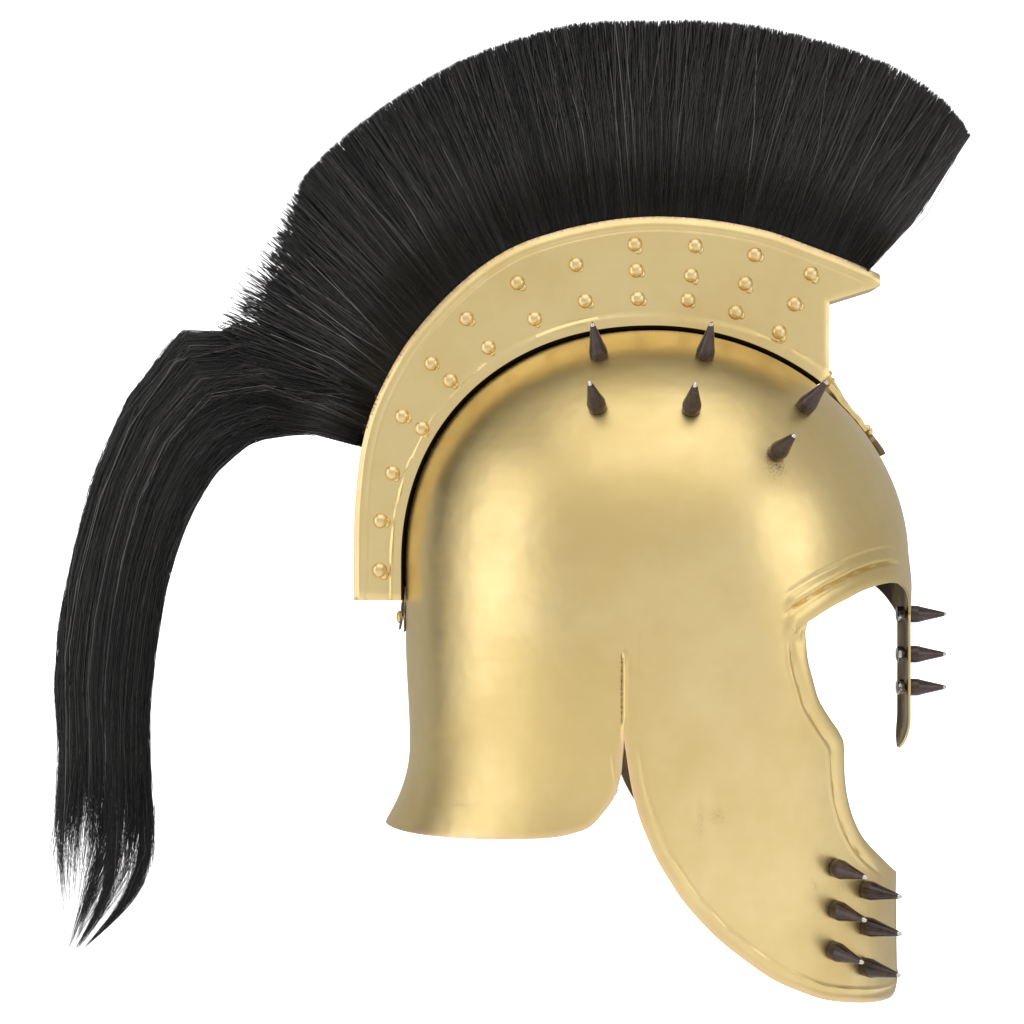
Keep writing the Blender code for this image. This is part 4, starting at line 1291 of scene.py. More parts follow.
@dataclass
class Holder:
    """The two riveted plates that hold the crest, with turned borders and closed ends.

    The profile and the studs are placed by degrees above the rear and by share of the height.
    Beads and edges are in millimetres.
    """

    form: SkullForm
    finish: Material
    gap: float = 1.6 * MM
    tall: float = 55.0 * MM
    half_width: float = 14.0 * MM
    plate: float = 1.2 * MM
    front: float = 87.3 * MM
    toe_drop: float = 22.7 * MM
    beak_reach: float = 112.4 * MM
    beak_rise: float = 27.1 * MM
    beak_end: float = 6.0 * MM
    beak_root: float = 13.3 * MM
    toe_angle: float = 132.8
    profile: Row = (
        (-6.8, 0.427), (8.6, 0.445), (21.6, 0.540), (30.9, 0.618), (42.9, 0.718), (56.9, 0.842),
        (69.7, 0.931), (88.0, 0.976), (106.2, 1.000), (122.2, 1.045),
    )
    studs: Sequence[tuple[float, tuple[float, ...]]] = (
        (-1.1, (0.445,)),
        (9.2, (0.465,)),
        (19.5, (0.385,)),
        (30.7, (0.210, 0.550)),
        (42.4, (0.275, 0.595)),
        (53.0, (0.260, 0.660)),
        (64.5, (0.275, 0.675)),
        (75.8, (0.290, 0.645)),
        (86.9, (0.250, 0.510, 0.750)),
        (97.7, (0.250, 0.475, 0.745)),
        (108.3, (0.220, 0.490, 0.760)),
        (118.6, (0.185, 0.460, 0.760)),
    )
    stud_radius: float = 3.7 * MM
    stud_rise: float = 2.5 * MM
    columns: int = 150
    rows: int = 44
    front_steps: Sequence[int] = (3, 22, 16, 3)
    inset: float = 0.7 * MM
    border_beads: Sequence[tuple[str, Bead]] = (
        ("outer", Bead(0.25, 4.4, 1.8)),
        ("outer", Bead(-0.30, 6.4, 1.1)),
        ("inner", Bead(0.62, 4.6, 0.95)),
        ("inner", Bead(-0.30, 6.2, 1.0)),
    )
    front_bead: Bead = Bead(0.25, 4.6, 1.0)
    inner_step: tuple[float, float, float] = (0.35, 3.4, 0.8)
    rounded_edges: Sequence[tuple[str, float, float, float]] = (
        # border, depth and run in millimetres, exponent
        ("outer", 1.7, 3.2, 1.2),
        ("rear", 0.8, 2.4, 1.0),
        ("front", 0.7, 2.2, 1.0),
    )

    def height_at(self, angle: float) -> float:
        """Height of the plates over the holder's inner edge."""
        for (x0, y0), (x1, y1) in zip(self.profile, self.profile[1:]):
            if angle <= x1:
                return self.tall * mix(y0, y1, max(0.0, (angle - x0) / (x1 - x0)))
        return self.tall * self.profile[-1][1]

    def place(self, angle: float, height: float, side: float = 0.0) -> Vector:
        """Point this high over the holder's inner edge, in metres."""
        radius = self.form.radius(angle) + self.gap + height
        forward = -radius * math.cos(math.radians(angle))
        drop = self.form.height - radius * math.sin(math.radians(angle))
        return side_view(forward, drop, side)

    def borders(self) -> tuple[list[Vector], ...]:
        """Inner, outer, rear and front rows of the plate, with their ends shared."""
        outer_knots = [self.place(a, self.tall * h) for a, h in self.profile]
        arch = along(outer_knots, even(120))
        beak = side_view(self.beak_reach, -self.beak_rise)
        outer = along([*arch[::6], beak], even(self.columns))
        level = self.form.wall - outer[0].z - self.form.height
        low = -math.degrees(math.atan2(level, self.form.back_reach + self.gap))
        inner = [self.place(mix(low, self.toe_angle, s), 0.0) for s in even(self.columns)]
        rear = [inner[0].lerp(outer[0], s) for s in even(self.rows)]
        corners = (
            inner[-1],
            side_view(self.front, self.toe_drop),
            side_view(self.front, -self.beak_root),
            side_view(self.beak_reach, self.beak_end - self.beak_rise),
            beak,
        )
        front = [corners[0]]
        for a, b, count in zip(corners, corners[1:], self.front_steps):
            front += [a.lerp(b, (i + 1) / count) for i in range(count)]
        return inner, outer, rear, front

    def build(self) -> None:
        """Makes the plates, the web between them and the studs."""
        inner, outer, rear, front = self.borders()
        trees = {
            "outer": search_tree(along(outer, even(800))),
            "inner": search_tree(along(inner, even(800))),
            "rear": search_tree(self.dense(rear)),
            "front": search_tree(self.dense(front)),
        }
        bm = bmesh.new()

        def place(column: int, row: int) -> Vector:
            u = column / self.columns
            v = row / self.rows
            across = rear[row].lerp(front[row], u)
            down = inner[column].lerp(outer[column], v)
            corners = inner[0].lerp(inner[-1], u).lerp(outer[0].lerp(outer[-1], u), v)
            point = across + down - corners
            point.x = -self.side_at(point, trees)
            return point

        sheet(bm, self.columns, self.rows, place)
        rim, _ = wear_and_shade_layers(bm)
        for vertex in bm.verts:
            flat = Vector((0.0, vertex.co.y, vertex.co.z))
            away = trees["outer"].find(flat)[2] / MM
            vertex[rim] = rounding(away, 1.0, 2.4)
        bmesh.ops.recalc_face_normals(bm, faces=bm.faces)
        bm.faces.ensure_lookup_table()
        turn_faces(bm, bm.faces[0], (-1, 0, 0))
        bmesh.ops.solidify(bm, geom=bm.faces[:], thickness=self.plate)
        mirror(bm, 0.0)
        self.add_web(bm, inner, rear, front)
        bmesh.ops.recalc_face_normals(bm, faces=bm.faces)
        obj = piece("holder_plates", bm, self.finish, Slot.BRASS, ["crest_holder"], 38.0)
        round_edges(obj, 0.25 * MM, 2, 60.0)
        self.build_studs()

    def dense(self, line: Sequence[Vector]) -> list[Vector]:
        """Points close together along straight steps."""
        found = []
        for a, b in zip(line, line[1:]):
            found += [a.lerp(b, i / 10) for i in range(10)]
        return [*found, line[-1]]

    def side_at(self, point: Vector, trees: dict[str, KDTree]) -> float:
        """Distance of the plate's outer face from the mid-plane.

        Args:
            point: Point of the plate on the mid-plane.
            trees: Search trees of its four borders.

        Returns:
            Distance in metres.
        """
        away = {border: tree.find(point)[2] / MM for border, tree in trees.items()}
        height, start, run = self.inner_step
        rise = sum(bead.at(away[border]) for border, bead in self.border_beads)
        rise += height * (1.0 - ramp(away["inner"], start, run))
        rise += self.front_bead.at(away["front"]) * (0.6 + 0.4 * math.sin(point.z / MM * 2.6))
        for border, depth, run, power in self.rounded_edges:
            rise -= depth * (1.0 - smooth(away[border] / run)) ** power
        side = self.half_width - self.inset + rise * MM
        return min(side, self.half_width - 0.02 * MM)

    def add_web(
        self,
        bm: BMesh,
        inner: Sequence[Vector],
        rear: Sequence[Vector],
        front: Sequence[Vector],
    ) -> None:
        """Adds the strip that closes the holder under, behind and before the plates, painted dark
        as shadow next to the skull.
        """
        line = [*rear[::-1], *inner[1:], *front[1:-1]]
        half = self.half_width - 1.5 * MM
        centre = side_view(0.0, self.form.height)
        first, last = len(rear) - 1, len(rear) + len(inner) - 2
        part = bmesh.new()

        def place(column: int, row: int) -> Vector:
            across = 2 * column / 8 - 1
            point = line[row].copy()
            if first <= row <= last:
                toward = (centre - point).normalized()
                point += toward * (self.gap - 0.2 * MM) * (1 - across * across)
            point.x = half * across
            return point

        sheet(part, 8, len(line) - 1, place)
        bmesh.ops.recalc_face_normals(part, faces=part.faces)
        turn_faces(part, max(part.faces, key=lambda f: f.calc_center_median().z), (0, 0, -1))
        bmesh.ops.solidify(part, geom=part.faces[:], thickness=0.8 * self.plate)
        # painted shadow: web vertices next to the skull get full soot, which paints the dark gap
        # under the holder
        soot_and_shade = bm.verts.layers.float["soot_and_shade"]
        for vertex in join(bm, part):
            arm = vertex.co - centre
            angle = math.degrees(math.atan2(arm.z, arm.y))
            reach = self.form.radius(angle) + self.gap
            vertex[soot_and_shade] = 1.0 if math.hypot(arm.y, arm.z) < reach + 0.6 * MM else 0.0

    def build_studs(self) -> None:
        """Makes the domed heads on both plates, each with its small burr and painted shade at its
        foot.
        """
        rise, radius = self.stud_rise, self.stud_radius
        dome = dome_profile(radius, rise, (0.12, 0.4, 0.7, 1.0, 1.3, 1.52))
        profile = [*dome, (1.02 * radius, -0.15 * MM), (0.9 * radius, -0.9 * MM)]
        chance = random.Random(25)
        bm = bmesh.new()
        rim, soot_and_shade = wear_and_shade_layers(bm)
        seat = self.half_width - self.inset
        for angle, heights in self.studs:
            for share in heights:
                for hand in Hand:
                    point = self.place(angle, share * self.height_at(angle), hand.value * seat)
                    turn = Matrix.Rotation(hand.value * math.pi / 2, 4, "Y")
                    verts = lathe(bm, profile, 20, Matrix.Translation(point) @ turn)
                    for vertex in verts:
                        # painted shade: soot darkens each stud towards its foot on the plate
                        over = (abs(vertex.co.x) - seat) / rise
                        vertex[rim] = 0.25
                        vertex[soot_and_shade] = rounding(over, 0.7, 0.35)
                    self.add_burr(bm, point, chance)
        names = [f"stud_{number:02d}" for number in range(1, 26)]
        piece("holder_studs", bm, self.finish, Slot.BRASS, names, 60.0)

    def add_burr(self, bm: BMesh, point: Vector, chance: random.Random) -> None:
        """Adds the raised crescent that the punch left beside a stud."""
        angle = math.radians(-35.0 + chance.uniform(-25.0, 25.0))
        offset = Vector((0.0, -math.cos(angle), math.sin(angle))) * self.stud_radius * 0.86
        size = self.stud_radius * chance.uniform(0.36, 0.62)
        made = bmesh.ops.create_icosphere(bm, subdivisions=2, radius=size)
        bmesh.ops.scale(bm, vec=(0.42, 1.0, 1.25), verts=made["verts"])
        bmesh.ops.translate(bm, vec=point + offset, verts=made["verts"])


# ---------------------------------------------------------------- spikes


@dataclass
class Spikes:
    """Screwed-on spikes with their bolt heads inside the wall."""

    form: SkullForm
    finish: Material
    radius: float = 4.3 * MM
    length: float = 19.0 * MM
    head_radius: float = 4.0 * MM
    head_height: float = 3.6 * MM
    shank_radius: float = 1.5 * MM

    def names(self) -> list[str]:
        """Names of the CAD nodes of all spikes."""
        found = [
            f"{place}_spike_{side}_{number}"
            for place in ("skull", "cheek")
            for side in ("right", "left")
            for number in range(1, 7)
        ]
        return found + [f"nasal_spike_{number}" for number in range(1, 4)]

    def axis(self, name: str, nodes: dict[str, Object]) -> tuple[Vector, Vector]:
        """Tip and outward direction of a packed spike.

        Args:
            name: Name of its CAD node.
            nodes: Objects of the CAD nodes.

        Returns:
            (tip, direction).
        """
        points = np.array([v.co for v in nodes[name].data.vertices])
        middle = points.mean(axis=0)
        spread = points - middle
        direction = np.linalg.svd(spread, full_matrices=False)[2][0]
        reach = spread @ direction
        ends = [points[reach > reach.max() - 0.5 * MM], points[reach < reach.min() + 0.5 * MM]]
        ends.sort(key=lambda ring: float(np.linalg.norm(ring - ring.mean(axis=0), axis=1).max()))
        tip, head = (Vector(ring.mean(axis=0)) for ring in ends)
        return tip, (tip - head).normalized()

    def build(self, nodes: dict[str, Object]) -> None:
        """Makes one piece for each packed spike.

        Args:
            nodes: Objects of the CAD nodes.
        """
        r, total = self.radius, self.length
        profile = (
            (0.55 * MM, 0.0),
            (0.85 * MM, -0.35 * MM),
            (1.35 * MM, -2.2 * MM),
            (2.35 * MM, -6.6 * MM),
            (3.25 * MM, -10.6 * MM),
            (r - 0.12 * MM, -14.2 * MM),
            (r, -14.9 * MM),
            (r, -total + 1.0 * MM),
            (r - 0.35 * MM, -total + 0.3 * MM),
            (1.5 * MM, -total + 0.3 * MM),
        )
        for name in self.names():
            tip, outward = self.axis(name, nodes)
            bm = bmesh.new()
            bare = bm.verts.layers.float.new("bare")
            for vertex in lathe(bm, profile, 28, Matrix.Translation(tip) @ self.turn(outward)):
                vertex[bare] = 1.0 - ramp((tip - vertex.co).dot(outward) / MM, 0.9, 1.6)
            depth = max((tip - v.co).dot(outward) for v in nodes[name].data.vertices)
            self.add_bolt(bm, tip, outward, depth, bare)
            piece(f"{name}_dressed", bm, self.finish, Slot.SPIKE, [name], 35.0)

    def add_bolt(
        self,
        bm: BMesh,
        tip: Vector,
        outward: Vector,
        depth: float,
        bare: BMLayerItem,
    ) -> None:
        """Adds the shank and the hexagonal head inside the wall.

        Args:
            bm: Mesh of the spike.
            tip: Point of the spike's tip.
            outward: Its direction.
            depth: Distance from the tip to the head's inner face.
            bare: Layer of the bare attribute.
        """
        turn = self.turn(outward)
        bmesh.ops.create_cone(
            bm,
            cap_ends=True,
            segments=14,
            radius1=self.shank_radius,
            radius2=self.shank_radius,
            depth=depth - self.length,
            matrix=Matrix.Translation(tip - outward * (self.length + depth) / 2) @ turn,
        )
        middle = tip - outward * (depth - self.head_height / 2)
        place = Matrix.Translation(middle) @ turn
        hexagon(bm, self.head_radius, self.head_height, place, 0.35 * MM)
        for vertex in bm.verts:
            if (tip - vertex.co).dot(outward) > self.length + 0.2 * MM:
                vertex[bare] = 0.55

    def turn(self, outward: Vector) -> Matrix:
        """Rotation that takes +Z to the spike's direction."""
        return Vector((0, 0, 1)).rotation_difference(outward).to_matrix().to_4x4()


# ---------------------------------------------------------------- strap, bracket and screw


@dataclass
class Fittings:
    """The strap over the brow with its clip, and the bracket and screw at the back."""

    form: SkullForm
    brass: Material
    dark: Material
    strap_half_width: float = 7.0 * MM
    strap_start: float = 27.6 * MM
    strap_end: float = 51.3 * MM
    strap_over: float = 1.5 * MM
    strap_thickness: float = 3.6 * MM
    leaf_thickness: float = 3.0 * MM
    shadow_strip_thickness: float = 0.8 * MM
    clip_length: float = 12.0 * MM
    clip_thickness: float = 2.6 * MM
    bracket_half_width: float = 6.9 * MM
    bracket_start: float = 127.4 * MM
    bracket_end: float = 149.8 * MM
    bracket_thickness: float = 0.75 * MM
    screw_drop: float = 142.6 * MM
    screw_radius: float = 3.1 * MM
    screw_rise: float = 1.5 * MM
    pin_radius: float = 1.5 * MM
    pin_end: float = 4.5 * MM
    slot_half_width: float = 0.5 * MM
    slot_depth: float = 0.9 * MM
    nut_radius: float = 4.0 * MM
    nut_height: float = 3.0 * MM
    nut_depth: float = 6.0 * MM
    solder_spots: Table = (
        # share of the way down and across, lift and radius in millimetres
        (0.02, 0.86, 8.0, 2.3),
        (0.10, 0.90, 6.8, 1.7),
        (0.90, 0.85, 3.6, 1.5),
        (0.97, 0.72, 3.9, 1.3),
        (0.97, 0.20, 4.0, 1.2),
        (1.00, 0.95, 3.0, 1.2),
    )

    def over_face(self, drop: float, side: float, lift: float, front: bool) -> Vector:
        """Point over the skull near its mid-line, front or back, at a lift in metres."""
        near = max(1e-5, abs(side))
        form = self.form
        if front:
            turn = form.turn_at_side(near, drop)
        else:
            turn = math.asin(near / (form.width(drop) * form.dome(drop, 0.0))) / math.pi
        hand = Hand.LEFT if side > 0 else Hand.RIGHT
        return form.point(turn, drop, hand) + form.normal(turn, drop, hand) * lift

    def build(self) -> None:
        """Makes the strap, the bracket and the screw."""
        self.build_strap()
        self.build_bracket()
        self.build_screw()

    def ribbon(
        self,
        bm: BMesh,
        drops: Pair,
        half_width: Callable[[float], float],
        lift: Callable[[float, float], float],
        thickness: float,
        front: bool,
    ) -> None:
        """Adds a closed strip of sheet that lies over the skull's mid-line.

        Args:
            bm: Mesh that it is added to.
            drops: Upper and lower end in metres.
            half_width: Half width at a share of the way down.
            lift: Height of its outer face at a share of the way down and across.
            thickness: Thickness of the sheet.
            front: True for the brow and False for the back.
        """
        columns, rows = 14, 34
        part = bmesh.new()

        def place(column: int, row: int) -> Vector:
            down = row / rows
            across = 2 * column / columns - 1
            side = half_width(down) * across
            return self.over_face(mix(*drops, down), side, lift(down, across), front)

        sheet(part, columns, rows, place)
        bmesh.ops.recalc_face_normals(part, faces=part.faces)
        part.faces.ensure_lookup_table()
        turn_faces(part, part.faces[len(part.faces) // 2], (0, -1 if front else 1, 0))
        bmesh.ops.solidify(part, geom=part.faces[:], thickness=thickness)
        bmesh.ops.recalc_face_normals(part, faces=part.faces)
        join(bm, part)

    def build_strap(self) -> None:
        """Makes the brass tongue from the crest's toe down to its clip, with a dark strip of
        painted shadow along its foot.
        """
        bm = bmesh.new()
        rim, _ = wear_and_shade_layers(bm)
        chance = random.Random(4)
        phase = [chance.uniform(0, 6.28) for _ in range(6)]

        def ragged(down: float) -> float:
            wave = sum(math.sin(down * (9 + 8 * i) + phase[i]) / (1 + i) for i in range(4))
            return wave * 0.16 * MM

        def lift(down: float, across: float) -> float:
            stand = mix(8.6 * MM, 4.1 * MM, smooth(down / 0.62) ** 0.7) - 0.4 * MM * down
            return stand + ragged(down + 0.1 * across) - 0.9 * MM * across**6

        self.ribbon(
            bm,
            (self.strap_start, self.strap_end + self.strap_over),
            lambda down: self.strap_half_width + 1.2 * MM * (1 - down) + ragged(down),
            lift,
            self.strap_thickness,
            True,
        )
        self.ribbon(
            bm,
            (self.strap_start + 3.0 * MM, self.strap_end),
            lambda down: self.strap_half_width + 0.6 * MM * (1 - down) + 0.7 * ragged(down),
            lambda down, across: 3.7 * MM + 1.6 * MM * (1 - smooth(down / 0.5)) + ragged(down),
            self.leaf_thickness,
            True,
        )
        # painted shadow: a thin fully sooted strip under the strap stands for the dark shadow line
        # along its foot
        before = len(bm.verts)
        self.ribbon(
            bm,
            (self.strap_start + 5.0 * MM, self.strap_end),
            lambda down: self.strap_half_width + 0.7 * MM + ragged(down),
            lambda down, across: 1.1 * MM + 0.5 * ragged(down + 0.3),
            self.shadow_strip_thickness,
            True,
        )
        bm.verts.ensure_lookup_table()
        soot_and_shade = bm.verts.layers.float["soot_and_shade"]
        for vertex in bm.verts[before:]:
            vertex[soot_and_shade] = 1.0
        self.add_solder(bm, chance, rim)
        obj = piece("front_strap_dressed", bm, self.brass, Slot.BRASS, ["front_strap"], 50.0)
        round_edges(obj, 0.6 * MM, 3, 50.0)
        self.build_clip()

    def build_clip(self) -> None:
        """Makes the dark clip that stands off the brow at the strap's end."""
        bm = bmesh.new()
        self.ribbon(
            bm,
            (self.strap_end - self.strap_over, self.strap_end + self.clip_length),
            lambda down: self.strap_half_width - 1.8 * MM * smooth((down - 0.8) / 0.2),
            lambda down, across: mix(3.5 * MM, 4.7 * MM, down) - 0.5 * MM * across**4,
            self.clip_thickness,
            True,
        )
        obj = piece("strap_clip", bm, self.dark, Slot.BRACKET, ["front_strap"], 50.0)
        round_edges(obj, 0.7 * MM, 3, 50.0)

    def add_solder(self, bm: BMesh, chance: random.Random, rim: BMLayerItem) -> None:
        """Adds the lumps of solder at the crest's toe and where the clip is held.

        Args:
            bm: Mesh of the strap.
            chance: Source of chance.
            rim: Layer of the rim attribute.
        """
        for hand in Hand:
            for down, across, lift, size in self.solder_spots:
                drop = mix(self.strap_start, self.strap_end + self.strap_over, down)
                side = hand.value * self.strap_half_width * across
                point = self.over_face(drop, side, lift * MM, True)
                made = bmesh.ops.create_icosphere(bm, subdivisions=3, radius=size * MM)
                turn = chance.uniform(0, 6.28)
                for vertex in made["verts"]:
                    lump = math.sin(1500 * vertex.co.y + turn) * math.sin(1300 * vertex.co.z)
                    vertex.co *= 1.0 + 0.16 * lump
                    vertex.co.x *= 0.8
                    vertex[rim] = 0.1
                bmesh.ops.translate(bm, vec=point, verts=made["verts"])

    def build_bracket(self) -> None:
        """Makes the two thin leaves that hold the crest to the back of the skull."""
        bm = bmesh.new()
        for low, end, wide in ((1.0 * MM, 0.0, 0.0), (2.5 * MM, 1.0 * MM, 0.5 * MM)):
            self.ribbon(
                bm,
                (self.bracket_start, self.bracket_end - end),
                lambda down, wide=wide: self.bracket_half_width
                - wide
                - 2.2 * MM * smooth((down - 0.8) / 0.2),
                lambda down, across, low=low: low + 0.45 * low * (smooth(down / 0.6) - 1.0)
                + 0.9 * MM * smooth((down - 0.62) / 0.38) * (low > 1.5 * MM),
                self.bracket_thickness,
                False,
            )
        obj = piece("rear_bracket_dressed", bm, self.dark, Slot.BRACKET, ["rear_bracket"], 45.0)
        round_edges(obj, 0.12 * MM, 1, 30.0)

    def build_screw(self) -> None:
        """Makes the slotted screw through the bracket, with its nut inside the wall."""
        r, pin, under = self.screw_radius, self.pin_radius, -0.5 * MM
        bm = bmesh.new()
        rim, _ = wear_and_shade_layers(bm)
        rings = dome_profile(r, self.screw_rise, (0.1, 0.35, 0.6, 0.9, 1.2, 1.5))
        profile = [*rings, (r, under), (pin, under), (pin, -self.pin_end)]
        lathe(bm, profile, 32, Matrix.Identity(4))
        for edge in (-0.55, -0.47, 0.47, 0.55):
            bmesh.ops.bisect_plane(
                bm,
                geom=whole(bm),
                plane_co=(edge * MM, 0, 0),
                plane_no=(1, 0, 0),
                dist=1e-7,
            )
        for vertex in bm.verts:
            if abs(vertex.co.x) < self.slot_half_width and vertex.co.z > -0.2 * MM:
                vertex.co.z -= self.slot_depth
                vertex[rim] = 0.9
        below = Matrix.Translation((0, 0, -self.nut_depth))
        hexagon(bm, self.nut_radius, self.nut_height, below, 0.3 * MM)
        seat = side_view(-self.form.back_reach - 3.3 * MM, self.screw_drop)
        turn = Matrix.Rotation(math.radians(-90), 4, "X") @ Matrix.Rotation(0.5, 4, "Z")
        bmesh.ops.transform(bm, matrix=Matrix.Translation(seat) @ turn, verts=bm.verts)
        piece("rear_screw_dressed", bm, self.brass, Slot.BRASS, ["rear_screw"], 40.0)


# ---------------------------------------------------------------- hair


# painted light: how much paler a hair is painted at its root
PAINTED_ROOT_LIGHT = 0.36
LIFTED_AT_MOST = 0.94


def hair_mesh(
    name: str,
    paths: np.ndarray,
    radius: np.ndarray,
    tone: np.ndarray,
    finish: Material,
    nodes: Sequence[str],
    thinning: float,
) -> Object:
    """Makes one piece of many closed three-sided hairs.

    Args:
        name: Name of the piece.
        paths: Points of the hairs, as (hair, step, xyz).
        radius: Radius of each hair near its root.
        tone: Tone of each hair from 0 to 1.
        finish: Material that it wears.
        nodes: CAD nodes that it stands for.
        thinning: Share of its radius that a hair loses by its tip.

    Returns:
        The piece's object.
    """
    count, points = paths.shape[:2]
    bm = bmesh.new()
    columns = 4 * count - 1
    bmesh.ops.create_grid(bm, x_segments=columns, y_segments=points - 1, size=0.5)
    gaps = [
        face
        for face in bm.faces
        if int((face.calc_center_median().x + 0.5) * columns) % 4 == 3
    ]
    bmesh.ops.delete(bm, geom=gaps, context="FACES")
    mesh = bpy.data.meshes.new(name)
    bm.to_mesh(mesh)
    bm.clear()
    flat = np.empty(len(mesh.vertices) * 3, np.float32)
    mesh.vertices.foreach_get("co", flat)
    flat = flat.reshape(-1, 3).astype(float)
    column = np.rint((flat[:, 0] + 0.5) * columns).astype(int)
    ring = np.rint((0.5 - flat[:, 1]) * (points - 1)).astype(int)
    hair = column // 4
    corner = column % 4 % 3
    ahead = np.gradient(paths, axis=1)
    ahead /= np.linalg.norm(ahead, axis=2, keepdims=True) + 1e-12
    across = np.cross(ahead, np.array([0.31, 0.87, 0.38]))
    across /= np.linalg.norm(across, axis=2, keepdims=True) + 1e-12
    other = np.cross(ahead, across)
    share = np.linspace(0.0, 1.0, points)
    # the first and the last ring shrink to a point, which closes the hair
    body = np.where((share > 0) & (share < 1), 1.0 - thinning * share, 0.0)
    turn = corner * (2 * math.pi / 3)
    reach = radius[hair] * body[ring]
    place = paths[hair, ring] + (
        across[hair, ring] * (np.cos(turn) * reach)[:, None]
        + other[hair, ring] * (np.sin(turn) * reach)[:, None]
    )
    mesh.vertices.foreach_set("co", place.astype(np.float32).ravel())
    tones = mesh.attributes.new("tone", "FLOAT", "POINT")
    # painted light: hairs are painted paler towards their roots, without making a hair one of the
    # pale ones
    lifted = tone[hair] + PAINTED_ROOT_LIGHT * (1.0 - share[ring]) ** 2
    lifted = np.minimum(lifted, np.maximum(tone[hair], LIFTED_AT_MOST))
    tones.data.foreach_set("value", lifted.astype(np.float32))
    bm.from_mesh(mesh)
    bpy.data.meshes.remove(mesh)
    bmesh.ops.remove_doubles(bm, verts=bm.verts, dist=1e-7)
    bmesh.ops.recalc_face_normals(bm, faces=bm.faces)
    return piece(name, bm, finish, Slot.HAIR, nodes, 180.0)


@dataclass
class Brush:
    """The cropped fan of hair along the top of the crest.

    Angles are in degrees above the rear, losses and hair radii in millimetres.
    """

    form: SkullForm
    holder: Holder
    finish: Material
    rear: float = 28.6
    front: float = 126.3
    reach: float = 250.0 * MM
    root_half: float = 12.2 * MM
    tip_half: float = 17.6 * MM
    strands: int = 13000
    pieces: int = 2
    tufts: int = 300
    tuft_kinds: int = 9973
    edge_share: float = 0.07
    fray_end: float = 31.0
    fray_run: float = 17.0
    fray_loss: float = 34.0
    core_inset: float = 3.0
    core_fray: float = 31.0
    droop: float = 3.4
    droop_start: float = 38.0
    droop_run: float = 9.0
    steps: Sequence[float] = (0.0, 0.5, 0.985, 1.0)
    hair_radius: Pair = (0.13, 0.24)
    pale_from: float = 0.955
    outline: Row = (
        (28.6, 0.900), (30.0, 0.960), (31.3, 0.999), (39.5, 1.002), (44.5, 1.020), (50.0, 1.035),
        (60.1, 1.051), (68.4, 1.064), (81.5, 1.079), (90.6, 1.073), (99.7, 1.082),
        (109.1, 1.088), (115.1, 1.092), (119.3, 1.089), (122.6, 1.080), (125.0, 1.064),
        (126.3, 1.052),
    )

    def root_reach(self, angle: np.ndarray) -> np.ndarray:
        """Radius of the holder's outer edge at these angles."""
        table = np.linspace(self.rear - 12, self.front + 3, 300)
        reach = [
            self.form.radius(a) + self.holder.gap + self.holder.height_at(a) for a in table
        ]
        return np.interp(angle, table, reach)

    def tip_reach(self, angle: np.ndarray) -> np.ndarray:
        """Radius of the cropped ends at these angles."""
        table = np.array(self.outline)
        return self.reach * np.interp(angle, table[:, 0], table[:, 1])

    def space(self, angle: np.ndarray, reach: np.ndarray, side: np.ndarray) -> np.ndarray:
        """Points of the row frame from angle, radius and side."""
        flat = np.radians(angle)
        level = self.form.wall - self.form.height
        return np.stack([side, reach * np.cos(flat), level + reach * np.sin(flat)], axis=-1)

    def build(self) -> None:
        """Makes the dark core and the hairs over it."""
        self.build_core()
        rng = np.random.default_rng(11)
        for number in range(self.pieces):
            self.build_hairs(rng, number)

    def build_core(self) -> None:
        """Makes the dense middle of the fan, a little inside its hairs."""
        bm = bmesh.new()
        columns, rows = 10, 96

        def ring_point(column: int, row: int) -> Vector:
            angle = mix(self.rear + 3.2, self.front - 1.4, row / rows)
            turn = math.pi * column / columns
            low = float(self.root_reach(np.array(angle))) - 8 * MM
            ragged = self.core_fray * (1 - ramp(angle, self.fray_end, self.fray_run))
            high = float(self.tip_reach(np.array(angle))) - (self.core_inset + ragged) * MM
            up = 0.5 - 0.5 * math.cos(turn)
            reach = mix(low, high, up)
            half = mix(self.root_half - 1.2 * MM, self.tip_half - 3.0 * MM, up)
            side = half * math.copysign(abs(math.sin(turn)) ** 0.35, math.sin(turn))
            return Vector(self.space(np.array(angle), np.array(reach), np.array(side)))

        sheet(bm, 2 * columns, rows, ring_point)
        close_body(bm)
        bm.verts.layers.float.new("tone")
        piece("brush_core", bm, self.finish, Slot.HAIR, ["crest_brush"], 60.0)

    def build_hairs(self, rng: np.random.Generator, number: int) -> None:
        """Makes one piece of the fan's hairs.

        Args:
            rng: Source of chance.
            number: Number of the piece.
        """
        count = self.strands
        span = self.front - self.rear
        angle = rng.uniform(self.rear, self.front, count)
        edge = rng.random(count) < self.edge_share
        angle = np.where(edge, self.front - rng.random(count) ** 2 * 2.0, angle)
        side = rng.uniform(-1, 1, count)
        side = np.sign(side) * np.abs(side) ** 0.62
        # neighbours share a tuft, which pulls their tips together
        cell = np.floor((angle - self.rear) / span * self.tufts + rng.uniform(-0.4, 0.4, count))
        lane = np.floor((side + 1) * 3.999)
        key = (cell * 13 + lane * 7919).astype(int) % self.tuft_kinds
        tuft = np.random.default_rng(5).uniform(-1, 1, (self.tuft_kinds, 3))[key]
        centre = self.rear + (cell + 0.5 + 0.35 * tuft[:, 0]) / self.tufts * span
        frayed = 1.0 - np.clip((angle - self.fray_end) / self.fray_run, 0, 1)
        pull = 0.55 + 0.10 * frayed
        lean = 0.55 * np.sin(angle * 1.9 + 2 * side) + 0.4 * np.sin(angle * 4.7 + 1.0)
        tip = angle * (1 - pull) + centre * pull + 0.45 * lean
        stray = np.where(rng.random(count) < 0.1, 3.0, 1.0)
        tip += rng.normal(0, 0.62, count) * (1 + 0.25 * frayed) * stray
        tip = np.clip(tip, self.rear - 0.6, self.front + 0.15)
        root = np.clip(angle + rng.normal(0, 0.7, count) - 0.3 * lean, self.rear, self.front)
